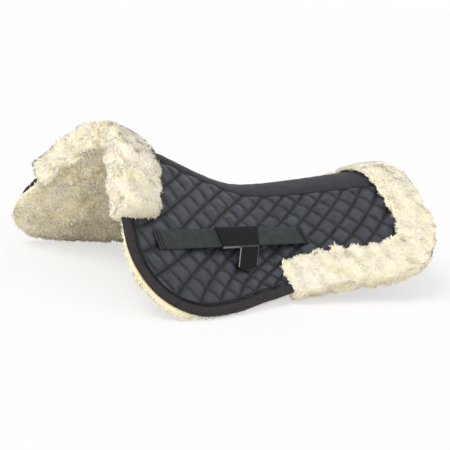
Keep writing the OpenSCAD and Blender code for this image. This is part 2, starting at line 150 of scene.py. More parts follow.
@dataclass(frozen=True)
class Finish:
    """A textile finish: what every fabric of the pad has in common."""

    name: str
    colour: str
    shade: str
    roughness: float = 0.85
    sheen: float = 0.0
    bump: float = 0.3
    gloss: float = 0.15      # Cloth reflects far less than a smooth surface.

    def surface(self, tree: bpy.types.NodeTree) -> Tuple[Any, Any]:
        """Makes the pattern.

        Args:
            tree: The material's node tree.

        Returns:
            The colour's output socket and the height's.
        """
        place = add_node(tree, "TexCoord").outputs["Object"]
        cloud = add_node(tree, "TexNoise", {"Vector": place, "Scale": 60.0, "Detail": 3.0})
        return self.mixed(tree, cloud.outputs[0]), cloud.outputs[0]

    def mixed(self, tree: bpy.types.NodeTree, factor: Any) -> Any:
        """Runs from the finish's shade to its colour.

        Args:
            tree: The material's node tree.
            factor: How much of the colour shows, as a socket.

        Returns:
            The mixed colour's socket.
        """
        ramp = add_node(tree, "ValToRGB", {0: factor})
        for element, code in zip(ramp.color_ramp.elements, (self.shade, self.colour)):
            element.color = linear(code)
        return ramp.outputs[0]

    def build(self) -> bpy.types.Material:
        """Makes the material once and finds it again later.

        Returns:
            The finish's material.
        """
        found = bpy.data.materials.get(self.name)
        if found:
            return found
        material = bpy.data.materials.new(self.name)
        material.use_nodes = True
        tree = material.node_tree
        tree.nodes.clear()
        colour, height = self.surface(tree)
        relief = add_node(tree, "Bump", {"Height": height, "Strength": self.bump,
                                         "Distance": 0.001})
        shader = add_node(tree, "BsdfPrincipled", {
            "Base Color": colour, "Roughness": self.roughness, "Sheen Weight": self.sheen,
            "Sheen Roughness": 0.5, "Specular IOR Level": self.gloss,
            "Normal": relief.outputs[0]})
        add_node(tree, "OutputMaterial", {0: shader.outputs[0]})
        return material


@dataclass(frozen=True)
class QuiltedCotton(Finish):
    """Cotton twill, dyed and quilted: tonal stitches run in shallow valleys of painted shade.
    """

    thread_mm: float = 1.5   # Real twill lies at about 0.5 mm; coarser, so that it shows.
    stitch_count: float = 7.0
    thread: str = "#17171a"

    def surface(self, tree: bpy.types.NodeTree) -> Tuple[Any, Any]:
        """Draws twill, seams, stitches and painted valley shade. See Finish.surface."""
        quilt = add_node(tree, "UVMap", uv_map="quilt").outputs[0]
        cloth = add_node(tree, "UVMap", uv_map="cloth").outputs[0]
        axis = add_node(tree, "SeparateXYZ", {0: quilt}).outputs
        seams = [maths(tree, "PINGPONG", axis[k], 0.5) for k in (0, 1)]
        # Painted shade: the colour darkens towards each seam's valley.
        painted_valley_shade = scaled(tree, maths(tree, "MINIMUM", *seams), 0.0, 0.24, 0.12, 1.0)
        twill = add_node(tree, "TexWave", {"Vector": cloth, "Scale":
                                           1000 / self.thread_mm / (2 * math.pi) * 0.7,
                                           "Distortion": 0.6, "Detail": 1.0},
                         wave_type="BANDS", bands_direction="DIAGONAL").outputs[1]
        crease = add_node(tree, "TexNoise", {"Vector": cloth, "Scale": 55.0, "Detail": 4.0,
                                             "Roughness": 0.6, "Distortion": 0.8}).outputs[0]
        dashes, puckers = [], []
        for here, other in ((0, 1), (1, 0)):
            beat = maths(tree, "MULTIPLY", axis[other], self.stitch_count)
            on = maths(tree, "GREATER_THAN", maths(tree, "PINGPONG", beat, 0.5), 0.16)
            line = maths(tree, "LESS_THAN", seams[here], 0.022)
            dashes.append(maths(tree, "MULTIPLY", on, line))
            # The seams gather the cloth into fine puckers, square to the thread.
            drift = maths(tree, "MULTIPLY_ADD", crease, 2.2, axis[other])
            fold = maths(tree, "PINGPONG", maths(tree, "MULTIPLY", drift, 4.5), 0.5)
            close = scaled(tree, seams[here], 0.02, 0.3, 1.0, 0.0)
            puckers.append(maths(tree, "MULTIPLY", fold, close))
        stitch = maths(tree, "MAXIMUM", *dashes)
        # Painted valley shade, times random creases, sets the cloth's colour.
        tone_and_painted_shade = maths(tree, "MULTIPLY", crease, painted_valley_shade)
        base = self.mixed(tree, scaled(tree, tone_and_painted_shade, 0.08, 0.66))
        weave = maths(tree, "MULTIPLY_ADD", maths(tree, "ADD", *puckers), 1.1,
                      maths(tree, "MULTIPLY", twill, 0.12))
        folds = maths(tree, "MULTIPLY_ADD", crease, 1.3, weave)
        sewn = maths(tree, "MULTIPLY_ADD", stitch, 0.5, folds)
        return blended(tree, stitch, base, linear(self.thread)), sewn


@dataclass(frozen=True)
class WovenTape(Finish):
    """Flat woven polyester tape: fine ribs run across it. Where it is sewn down it has
    a row of stitches, and a tape with a selvedge has paler edges."""

    rib_mm: float = 2.0      # Real ribs lie at about 0.8 mm; coarser, so that they show.
    stitch_at_mm: Tuple[float, ...] = ()
    stitch_mm: float = 3.2
    stitch_w_mm: float = 0.7
    thread: str = "#151517"
    selvedge_at_mm: float = 0.0
    selvedge_w_mm: float = 1.3
    selvedge: str = "#8d9092"

    def surface(self, tree: bpy.types.NodeTree) -> Tuple[Any, Any]:
        """Draws ribs, stitches and selvedges. See Finish.surface."""
        cloth = add_node(tree, "UVMap", uv_map="cloth").outputs[0]
        axis = add_node(tree, "SeparateXYZ", {0: cloth}).outputs
        rib = maths(tree, "PINGPONG", maths(tree, "MULTIPLY", axis[0], 1000 / self.rib_mm),
                    0.5)
        cloud = add_node(tree, "TexNoise", {"Vector": cloth, "Scale": 90.0, "Detail": 4.0})
        relief = maths(tree, "MULTIPLY_ADD", rib, 0.8, cloud.outputs[0])
        colour = self.mixed(tree, scaled(tree, relief, 0.35, 0.95))
        for row in self.stitch_at_mm:
            gap = maths(tree, "ABSOLUTE", maths(tree, "SUBTRACT", axis[1], row * MM))
            line = maths(tree, "LESS_THAN", gap, self.stitch_w_mm * MM)
            step = maths(tree, "MULTIPLY", axis[0], 1000 / self.stitch_mm)
            on = maths(tree, "GREATER_THAN", maths(tree, "PINGPONG", step, 0.5), 0.13)
            colour = blended(tree, maths(tree, "MULTIPLY", on, line), colour,
                             linear(self.thread))
            relief = maths(tree, "MULTIPLY_ADD", line, -0.8, relief)
        if self.selvedge_at_mm:
            line = scaled(tree, maths(tree, "ABSOLUTE", axis[1]),
                          (self.selvedge_at_mm - self.selvedge_w_mm) * MM,
                          self.selvedge_at_mm * MM)
            colour = blended(tree, line, colour, linear(self.selvedge))
        return colour, relief


@dataclass(frozen=True)
class Sheepskin(Finish):
    """Clipped sheepskin wool: pale, matt locks, painted warmer and darker at the roots as
    shade.
    """

    def surface(self, tree: bpy.types.NodeTree) -> Tuple[Any, Any]:
        """Paints shade at each lock's root, lighter to its tip. See Finish.surface."""
        place = add_node(tree, "TexCoord").outputs["Object"]
        tip, lock = (add_node(tree, "Attribute", attribute_name=key).outputs["Fac"]
                     for key in ("tip", "lock"))
        cloud = add_node(tree, "TexNoise", {"Vector": place, "Scale": 20.0, "Detail": 2.0})
        patch = maths(tree, "MULTIPLY", cloud.outputs[0], 0.6)
        some = maths(tree, "MULTIPLY_ADD", lock, 0.1, patch)
        # Painted shade: each lock darkens from its tip towards its root.
        tone_and_painted_shade = maths(tree, "MULTIPLY_ADD", tip, 0.5, some)
        fine = add_node(tree, "TexNoise", {"Vector": place, "Scale": 420.0, "Detail": 2.0})
        return self.mixed(tree, scaled(tree, tone_and_painted_shade, 0.2, 0.85)), fine.outputs[0]


@dataclass(frozen=True)
class BarTack(Finish):
    """Dense zigzag sewing thread: close, slightly glossy ridges across the webbing."""

    def surface(self, tree: bpy.types.NodeTree) -> Tuple[Any, Any]:
        """Draws the ridges of thread, 1.2 mm apart. See Finish.surface."""
        place = add_node(tree, "TexCoord").outputs["Object"]
        ridge = add_node(tree, "TexWave", {"Vector": place, "Scale": 1000 / 1.2 / 20,
                                           "Distortion": 1.0}, wave_type="BANDS",
                         bands_direction="X")
        return self.mixed(tree, ridge.outputs[1]), ridge.outputs[1]


@dataclass(frozen=True)
class HookTape(Finish):
    """Nylon hook-and-loop tape: a matt nap of hooks or loops, 1.5 mm apart."""

    def surface(self, tree: bpy.types.NodeTree) -> Tuple[Any, Any]:
        """Draws the hooks as small cells. See Finish.surface."""
        place = add_node(tree, "TexCoord").outputs["Object"]
        cell = add_node(tree, "TexVoronoi", {"Vector": place, "Scale": 1000 / 1.5})
        return self.mixed(tree, cell.outputs[0]), cell.outputs[0]


# The cotton is a charcoal twill with a slight shine on its puffs, and painted shade in its
# valleys.
COTTON = QuiltedCotton("quilted_cotton_twill", "#3c4049", "#17181b", 0.4, 0.0, 1.0, gloss=0.3)
# The spine's tape is smoother than the cotton, so it looks a little lighter.
SPINE_TAPE = WovenTape("woven_spine_tape", "#37373d", "#2a2a2f", 0.6, 0.0, 0.2,
                       rib_mm=2.4)
# The binding is a soft folded tape, browner and darker than the cotton.
BINDING = WovenTape("folded_binding_tape", "#393537", "#252123", 0.65, 0.0, 0.4,
                    rib_mm=2.2, stitch_at_mm=(2.6,))
# The piping is a round cord in black cotton.
PIPING = WovenTape("black_piping_cord", "#1b1a1c", "#0f0f10", 0.7, 0.1, 0.5, rib_mm=1.8)
# The strap is ribbed polyester webbing.
WEBBING = WovenTape("polyester_webbing", "#363b3b", "#222626", 0.5, 0.0, 0.7,
                    rib_mm=2.0)
# The tab is softer tape with a light selvedge on both edges.
TAB = WovenTape("folded_tab_tape", "#070809", "#040505", 0.55, 0.0, 0.35, rib_mm=1.8,
                selvedge_at_mm=15.6)
# The wool is ivory at its tips; its warmer cream at the roots is painted shade between locks.
WOOL = Sheepskin("clipped_sheepskin_wool", "#fff9e8", "#f4e6bd", 0.95, 0.0, 0.03, gloss=0.0)
# The tacks are sewn with black polyester thread.
THREAD = BarTack("bar_tack_thread", "#17181a", "#0a0a0b", 0.5, 0.1, 0.8)
# The patches are black nylon hook-and-loop tape.
HOOKS = HookTape("hook_and_loop_tape", "#222326", "#101113", 0.9, 0.2, 0.8)


# ---- The pad's surface ----

class Side(Enum):
    """The half on which a piece lies: the left half is at -Y."""

    LEFT = "left"
    RIGHT = "right"

    @property
    def body(self) -> str:
        """The name of the half's body."""
        return self.value + "_half"

    def turned(self, points: Array) -> Array:
        """Mirrors points of the left half for the right one."""
        return points if self is Side.LEFT else points * np.array([1.0, -1.0, 1.0])


def between(first: Any, last: Any, share: Any) -> Any:
    """The value at a share of the way from the first to the last."""
    return first + (last - first) * share


def catmull_rom(points: Array, at: Array, closed: bool) -> Array:
    """Runs a smooth curve through points.

    Args:
        points: The points, one a row.
        at: Where to read the curve, counted along the points.
        closed: Whether the last point joins the first.

    Returns:
        The curve's point at each place.
    """
    n = len(points)
    i = np.clip(np.floor(at).astype(int), 0, n - 1 if closed else n - 2)
    f = (at - i)[:, None]
    if closed:
        a, b, c, d = (points[(i + k) % n] for k in (-1, 0, 1, 2))
    else:
        flip = np.array([1.0, -1.0])
        ring = np.vstack([points[1] * flip, points, points[-2] * flip])
        a, b, c, d = (ring[i + k] for k in (0, 1, 2, 3))
    return (2 * b + (c - a) * f + (2 * a - 5 * b + 4 * c - d) * f * f
            + (3 * b - a - 3 * c + d) * f ** 3) / 2


@dataclass(frozen=True)
class PadShape:
    """The pad's surface, in mm: a place on it is x along the spine and t down the
    cover, and a height o is measured outwards from the cover's underside."""

    pommel_rise: float = 0.37
    cantle_rise: float = 0.12
    dip_blend: float = 46.0
    dip_x: float = -6.0
    crown_turn: float = 36.0
    pommel_steep: float = 46.0
    cantle_steep: float = 25.0
    pommel_flare: float = 49.0
    cantle_flare: float = 41.0
    section_len: float = 300.0
    flare_t: float = 300.0
    seat_x: float = 12.6022      # The middle of the pad's length lies here.
    seat_z: float = -136.138     # The floor lies here.
    edge_points: Tuple[Tuple[float, float], ...] = (
        (-234, 0), (-256, 92), (-274, 170), (-274, 228), (-244, 270), (-187, 280),
        (-118, 257), (-45, 221), (25, 199), (110, 201), (190, 208), (246, 196),
        (281, 148), (296, 78), (299, 0))
    edge_steps: int = 24
    front_corner: float = 3.5
    rear_corner: float = 11.3
    tape_front: float = 20.0
    tape_rear: float = 42.0
    quilt_cols: int = 26
    quilt_rows: int = 11
    margin: float = 21.6
    upper_rows: int = 7
    upper_share: float = 0.84
    pommel_roll_end: float = 167.0
    cantle_roll_start: float = 4.0

    def __post_init__(self) -> None:
        """Works out the edge's curve and the grid's columns and rows."""
        n = len(self.edge_points) - 1
        at = np.arange(n * self.edge_steps + 1) / self.edge_steps
        curve = catmull_rom(np.array(self.edge_points, float), at, False)
        run = np.concatenate([[0], np.cumsum(np.linalg.norm(np.diff(curve, axis=0),
                                                            axis=1))])
        k = self.edge_steps
        front = float(np.interp(self.front_corner, at, run))
        rear = float(np.interp(self.rear_corner, at, run))
        tail = slice(len(run) - 1, len(run) - 2 - 2 * k, -1)
        put = object.__setattr__
        put(self, "curve", curve)
        put(self, "run", run)
        put(self, "front_corner_s", front)
        put(self, "rear_corner_s", rear)
        put(self, "front_in_s", float(np.interp(self.tape_front, curve[:2 * k, 1],
                                                run[:2 * k])))
        put(self, "rear_in_s", float(np.interp(self.tape_rear, curve[tail, 1], run[tail])))
        put(self, "roll_end_s", float(np.interp(self.pommel_roll_end, curve[:2 * k + 1, 1],
                                                run[:2 * k + 1])))
        put(self, "roll_start_s", float(np.interp(self.cantle_roll_start,
                                                  curve[5 * k:11 * k, 0],
                                                  run[5 * k:11 * k])))
        cols, rows = self.quilt_cols + 2, self.quilt_rows + 1
        side = self.margin / (rear - front)
        low = self.margin / (front - self.front_in_s)
        inner = side + (1 - 2 * side) * np.arange(cols - 1) / (cols - 2)
        put(self, "col_at", np.concatenate([[0], inner, [1]]))
        put(self, "front_row", np.append((1 - low) * np.arange(rows) / (rows - 1), 1.0))
        j = np.arange(rows + 1)
        put(self, "rear_row", np.where(
            j <= self.upper_rows, self.upper_share * j / self.upper_rows,
            self.upper_share + (1 - self.upper_share) * (j - self.upper_rows)
            / (rows - self.upper_rows)))

    @property
    def front_top_x(self) -> float:
        """Where the tape meets the pommel's edge, along the pad."""
        return float(self.edge(np.array(self.front_in_s))[0])

    @property
    def rear_top_x(self) -> float:
        """Where the tape meets the cantle's edge, along the pad."""
        return float(self.edge(np.array(self.rear_in_s))[0])

    @property
    def cols(self) -> int:
        """Columns of the grid, with the margins."""
        return self.quilt_cols + 2

    @property
    def rows(self) -> int:
        """Rows of the grid, with the margin."""
        return self.quilt_rows + 1

    def edge(self, s: Array) -> Array:
        """The edge's place at distance s along it."""
        return np.stack([np.interp(s, self.run, self.curve[:, 0]),
                         np.interp(s, self.run, self.curve[:, 1])], -1)

    def beside(self, s: Array, w: Array) -> Array:
        """The place w outwards from the edge at distance s."""
        d = self.edge(s + 6) - self.edge(s - 6)
        d /= np.linalg.norm(d, axis=-1, keepdims=True)
        return self.edge(s) + w[..., None] * np.stack([-d[..., 1], d[..., 0]], -1)

    def topline(self, x: Array) -> Array:
        """Height of the spine at x."""
        d = x - self.dip_x
        q = np.sqrt(d * d + self.dip_blend ** 2)
        p, c = self.pommel_rise, self.cantle_rise
        return (p * (q - d) + c * (q + d) - (p + c) * self.dip_blend) / 2

    def skin(self, place: Array, o: Array) -> Array:
        """Turns places and heights into points.

        Args:
            place: Places [x, t] in mm; t is negative on the right half.
            o: The height of each.

        Returns:
            The points in metres, in the pad's frame.
        """
        x, side = place[..., 0], np.where(place[..., 1] < 0, 1.0, -1.0)
        t = np.abs(place[..., 1])
        f = np.clip((x + self.section_len) / (2 * self.section_len), 0, 1)
        steep = np.radians(self.pommel_steep + (self.cantle_steep - self.pommel_steep) * f)
        flare = np.radians(self.pommel_flare + (self.cantle_flare - self.pommel_flare) * f)
        r_top = self.crown_turn / steep
        r_side = (self.flare_t - self.crown_turn) / (flare - steep)
        a = np.where(t < self.crown_turn, t / r_top, steep + (t - self.crown_turn) / r_side)
        out = np.where(t < self.crown_turn, r_top * np.sin(a), r_top * np.sin(steep)
                       + r_side * (np.sin(a) - np.sin(steep)))
        drop = np.where(t < self.crown_turn, r_top * (1 - np.cos(a)),
                        r_top * (1 - np.cos(steep)) + r_side * (np.cos(steep) - np.cos(a)))
        return MM * np.stack([x - self.seat_x, side * (out + o * np.sin(a)),
                              self.topline(x) - drop + o * np.cos(a) - self.seat_z], -1)

    def place(self, i: Array, j: Array) -> Array:
        """The place at column i and row j, between the panel's four edges."""
        u = np.interp(i, np.arange(self.cols + 1), self.col_at)[:, None]
        vf = np.interp(j, np.arange(self.rows + 1), self.front_row)[:, None]
        vr = np.interp(j, np.arange(self.rows + 1), self.rear_row)[:, None]
        v = (vf + vr) / 2
        ft, rt, fl, rl = (self.edge(np.array(s)) for s in (
            self.front_in_s, self.rear_in_s, self.front_corner_s, self.rear_corner_s))
        low = self.edge(between(self.front_corner_s, self.rear_corner_s, u[:, 0]))
        front = self.edge(between(self.front_in_s, self.front_corner_s, vf[:, 0]))
        rear = self.edge(between(self.rear_in_s, self.rear_corner_s, vr[:, 0]))
        return (between(between(ft, rt, u), low, v) + between(front, rear, u)
                - between(between(ft, rt, u), between(fl, rl, u), v))


PAD = PadShape()


def ripple(a: Array, b: Array, wave: float, seed: int, count: int = 7) -> Array:
    """Smooth, seeded unevenness over two coordinates.

    Args:
        a: The first coordinate.
        b: The second coordinate.
        wave: The mean wavelength, in their unit.
        seed: The seed.
        count: How many waves are summed.

    Returns:
        Values of about -1 to 1.
    """
    rng = np.random.default_rng(seed)
    total = np.zeros(np.broadcast(a, b).shape)
    for _ in range(count):
        turn, phase = rng.uniform(0, 2 * math.pi, 2)
        k = 2 * math.pi / (wave * rng.uniform(0.65, 1.6))
        total = total + np.sin(k * (a * math.cos(turn) + b * math.sin(turn)) + phase)
    return total / math.sqrt(count)


# ---- Meshes ----

def finished(name: str, bm: bmesh.types.BMesh, finish: Finish) -> bpy.types.Object:
    """Closes a bmesh, turns its faces outwards and makes it an object.

    Args:
        name: The piece's name.
        bm: Its bmesh, which is freed.
        finish: Its finish.

    Returns:
        The object, at the origin.
    """
    bmesh.ops.remove_doubles(bm, verts=bm.verts[:], dist=2e-6)
    bmesh.ops.recalc_face_normals(bm, faces=bm.faces[:])
    mesh = bpy.data.meshes.new(name)
    bm.to_mesh(mesh)
    bm.free()
    mesh.shade_smooth()
    piece = bpy.data.objects.new(name, mesh)
    bpy.context.collection.objects.link(piece)
    mesh.materials.append(finish.build())
    return piece


def shaped(name: str, across: int, along: int, shape: Callable[[Array, Array, Array], Fields],
           finish: Finish, thick: bool = False) -> bpy.types.Object:
    """Makes a piece from a grid that a function bends into shape.

    Args:
        name: The piece's name.
        across: Cells of the grid in the first direction.
        along: Cells in the second.
        shape: Gives "co", the points in metres, and UV maps or a "bare" value for the
            two shares and the layer (0 below, 1 above) of each corner.
        finish: The piece's finish.
        thick: Whether the grid is extruded to a sheet with an upper layer.

    Returns:
        The piece.
    """
    bm = bmesh.new()
    bmesh.ops.create_grid(bm, x_segments=across, y_segments=along, size=0.5)
    if thick:
        shell = bmesh.ops.extrude_face_region(bm, geom=bm.faces[:])
        bmesh.ops.translate(bm, vec=(0, 0, 1), verts=[
            v for v in shell["geom"] if isinstance(v, bmesh.types.BMVert)])
    flat = np.array([v.co[:] for v in bm.verts])
    share = (flat - flat.min(0)) / np.maximum(np.ptp(flat, 0), 1e-9)
    fields = shape(share[:, 0], share[:, 1], share[:, 2])
    bm.verts.index_update()
    for key, value in fields.items():
        if key == "co":
            continue
        if value.ndim == 1:
            layer = bm.verts.layers.float.new(key)
            for vert, number in zip(bm.verts, value):
                vert[layer] = number
        else:
            layer = bm.loops.layers.uv.new(key)
            pairs = value.tolist()
            for face in bm.faces:
                for loop in face.loops:
                    loop[layer].uv = pairs[loop.vert.index]
    for vert, point in zip(bm.verts, fields["co"].tolist()):
        vert.co = point
    return finished(name, bm, finish)


@dataclass
class Fleece:
    """Locks of wool on a backing: short, bent and leaning, in mm."""

    length: float = 5.0
    radius: float = 1.0
    spacing: float = 1.9
    lean: float = 0.9
    seed: int = 1
    flow_wave: float = 34.0      # How far apart the pile's swirls lie.
    rooted: float = 0.3          # The share of a lock's length inside its backing.
    floor_gap: float = 0.3

    def template(self) -> Tuple[Array, Array]:
        """One lock, a small closed drop of unit size.

        Returns:
            Its points, with the height from 0 to 1 last, and its triangles.
        """
        bm = bmesh.new()
        bmesh.ops.create_uvsphere(bm, u_segments=3, v_segments=4, radius=1.0)
        bmesh.ops.triangulate(bm, faces=bm.faces[:])
        bmesh.ops.scale(bm, vec=(1, 1, 0.5), verts=bm.verts[:])
        bmesh.ops.translate(bm, vec=(0, 0, 0.5), verts=bm.verts[:])
        bm.verts.index_update()
        points = np.array([v.co[:] for v in bm.verts])
        faces = np.array([[v.index for v in f.verts] for f in bm.faces])
        bm.free()
        return points, faces

    def grow(self, backing: bpy.types.Object, name: str) -> bpy.types.Object:
        """Grows the wool on a backing, where its "bare" value is low.

        Args:
            backing: The piece that carries the wool.
            name: The wool's name.

        Returns:
            The wool, as one piece.
        """
        mesh = backing.data
        rng = np.random.default_rng(self.seed)
        mesh.calc_loop_triangles()
        co = np.zeros(len(mesh.vertices) * 3)
        mesh.vertices.foreach_get("co", co)
        co = co.reshape(-1, 3)
        tris = np.zeros(len(mesh.loop_triangles) * 3, int)
        mesh.loop_triangles.foreach_get("vertices", tris)
        tris = tris.reshape(-1, 3)
        bare = np.zeros(len(co), np.float32)
        if "bare" in mesh.attributes:
            mesh.attributes["bare"].data.foreach_get("value", bare)
        tris = tris[bare[tris].max(1) < 0.5]
        a, b, c = (co[tris[:, k]] for k in range(3))
        cross = np.cross(b - a, c - a)
        area = np.linalg.norm(cross, axis=1) / 2
        keep = area > 1e-10
        a, b, c, cross, area = a[keep], b[keep], c[keep], cross[keep], area[keep]
        count = int(area.sum() / (self.spacing * MM) ** 2)
        pick = rng.choice(len(area), count, p=area / area.sum())
        r1, r2 = np.sqrt(rng.uniform(size=(count, 1))), rng.uniform(size=(count, 1))
        root = (1 - r1) * a[pick] + r1 * (1 - r2) * b[pick] + r1 * r2 * c[pick]
        normal = cross[pick] / (2 * area[pick, None])
        # Neighbouring locks lean alike, as brushed wool does.
        flow = np.stack([ripple(root[:, k] / MM, root[:, (k + 1) % 3] / MM
                                + root[:, (k + 2) % 3] / MM, self.flow_wave, self.seed + 7 * k)
                         for k in range(3)], -1)
        flow = flow + rng.normal(size=(count, 3)) * 0.55
        flow -= normal * (flow * normal).sum(1, keepdims=True)
        flow /= np.maximum(np.linalg.norm(flow, axis=1, keepdims=True), 1e-6)
        side = np.cross(normal, flow)
        points, faces = self.template()
        long = self.length * MM * rng.uniform(0.65, 1.25, (count, 1, 1))
        wide = self.radius * MM * rng.uniform(0.75, 1.25, (count, 1, 1))
        lean = self.lean * rng.uniform(0.4, 1.3, (count, 1, 1))
        x, y, h = (points[None, :, k:k + 1] for k in range(3))
        out = (root[:, None] - normal[:, None] * self.length * MM * self.rooted
               + normal[:, None] * (h * long - 0.25 * h * h * lean * long)
               + flow[:, None] * (wide * x + lean * long * h * h)
               + side[:, None] * (wide * y * 0.85))
        out[..., 2] = np.maximum(out[..., 2], self.floor_gap * MM)
        n = len(points)
        cells = (faces[None] + n * np.arange(count)[:, None, None]).reshape(-1, 3)
        wool = bpy.data.meshes.new(name)
        wool.vertices.add(count * n)
        wool.vertices.foreach_set("co", out.reshape(-1))
        wool.loops.add(cells.size)
        wool.loops.foreach_set("vertex_index", cells.reshape(-1))
        wool.polygons.add(len(cells))
        wool.polygons.foreach_set("loop_start", np.arange(0, cells.size, 3))
        wool.update(calc_edges=True)
        wool.shade_smooth()
        # The pile scatters light as one soft surface, so its normals follow the backing.
        own = np.zeros(count * n * 3)
        wool.vertices.foreach_get("normal", own)
        # A lock that faces down keeps its own normals, or it would turn black.
        share = 0.85 * np.clip(1.4 * normal[:, 2:] + 0.9, 0, 1)
        soft = own.reshape(-1, 3) * np.repeat(1 - share, n, axis=0) \
            + np.repeat(normal * share, n, axis=0)
        soft /= np.linalg.norm(soft, axis=1, keepdims=True)
        wool.normals_split_custom_set_from_vertices(soft.tolist())
        # The tip height drives the wool's painted root shade; lock is a random tone.
        for key, value in (("tip", np.tile(points[:, 2], count)),
                           ("lock", np.repeat(rng.uniform(size=count), n))):
            wool.attributes.new(key, "FLOAT", "POINT").data.foreach_set(
                "value", value.astype(np.float32))
        piece = bpy.data.objects.new(name, wool)
        bpy.context.collection.objects.link(piece)
        wool.materials.append(WOOL.build())
        return piece


# ---- Strap and tab frame ----

@dataclass
class StrapLine:
    """The straight line of the left billet strap over the panel, in mm."""

    front: Tuple[float, float] = (-229.0, 182.0)
    rear: Tuple[float, float] = (65.0, 114.0)
    width: float = 31.0
    thick: float = 1.8
    lift: float = 5.62           # The strap's middle over the cover's underside.
    sleeve_at: float = 0.51

    def __post_init__(self) -> None:
        """Works out the strap's ends and directions, in metres."""
        ends = [PAD.skin(np.array(q), np.array(self.lift)) for q in (self.front, self.rear)]
        self.a, self.b = ends
        self.dir = (self.b - self.a) / np.linalg.norm(self.b - self.a)
        self.length = float(np.linalg.norm(self.b - self.a))
        self.downs = []
        for x, t in (self.front, self.rear):
            d = PAD.skin(np.array((x, t + 1)), np.array(0.0)) \
                - PAD.skin(np.array((x, t - 1)), np.array(0.0))
            self.downs.append(d / np.linalg.norm(d))

    def across(self, f: Array) -> Array:
        """Direction down the panel, square to the strap, at shares f of its length."""
        f = np.asarray(f)[..., None]
        d = self.downs[0] * (1 - f) + self.downs[1] * f
        d = d - (d * self.dir).sum(-1, keepdims=True) * self.dir
        return d / np.linalg.norm(d, axis=-1, keepdims=True)

    def out(self, f: Array) -> Array:
        """Direction out of the strap's face at shares f of its length."""
        return np.cross(self.across(f), self.dir)

    def point(self, across: Array, along: Array, out: Array, f: float) -> Array:
        """A point in the sleeve's frame at share f: x down, y along, z out, in mm."""
        base = self.a * (1 - f) + self.b * f
        return (base + MM * (across[:, None] * self.across(f) + along[:, None] * self.dir
                             + out[:, None] * self.out(f)))


STRAP = StrapLine()


@dataclass
class Leg:
    """The tab's hanging leg in the sleeve's frame, in mm."""

    width: float = 33.0
    length: float = 42.0         # The solid's; the piece drawn is BilletStrap.leg_l long.
    thick: float = 2.0
    at: float = 16.0
    slant: float = 25.0
    lean: float = 15.6146
    fold_x: float = 18.6
    fold_z: float = 3.1
    stack: float = 5.6           # From the leg's face down to the loop patch's back.
    patch_l: float = 24.0
    patch_w: float = 25.0
    patch_room: float = 2.0

    def point(self, x: Array, y: Array, z: Array) -> Array:
        """A point in the leg's frame, which hangs from the fold: x down, z out."""
        c, s = math.cos(math.radians(self.lean)), math.sin(math.radians(self.lean))
        return STRAP.point(self.fold_x + c * x + s * z, self.at + y,
                           self.fold_z - s * x + c * z, STRAP.sleeve_at)

    def local(self, points: Array) -> Array:
        """Points in the leg's frame, turned so that x runs down the slanted leg."""
        base = STRAP.a * (1 - STRAP.sleeve_at) + STRAP.b * STRAP.sleeve_at
        rel = (points - base) / MM
        axes = np.stack([STRAP.across(STRAP.sleeve_at), STRAP.dir,
                         STRAP.out(STRAP.sleeve_at)], -1)
        x, y, z = np.moveaxis(rel @ axes - np.array([self.fold_x, self.at, self.fold_z]),
                              -1, 0)
        c, s = math.cos(math.radians(self.lean)), math.sin(math.radians(self.lean))
        x, z = c * x - s * z, s * x + c * z
        k = math.radians(self.slant)
        return np.stack([x * math.cos(k) - y * math.sin(k),
                         x * math.sin(k) + y * math.cos(k), z], -1)


LEG = Leg()


# ---- Sub-assemblies ----

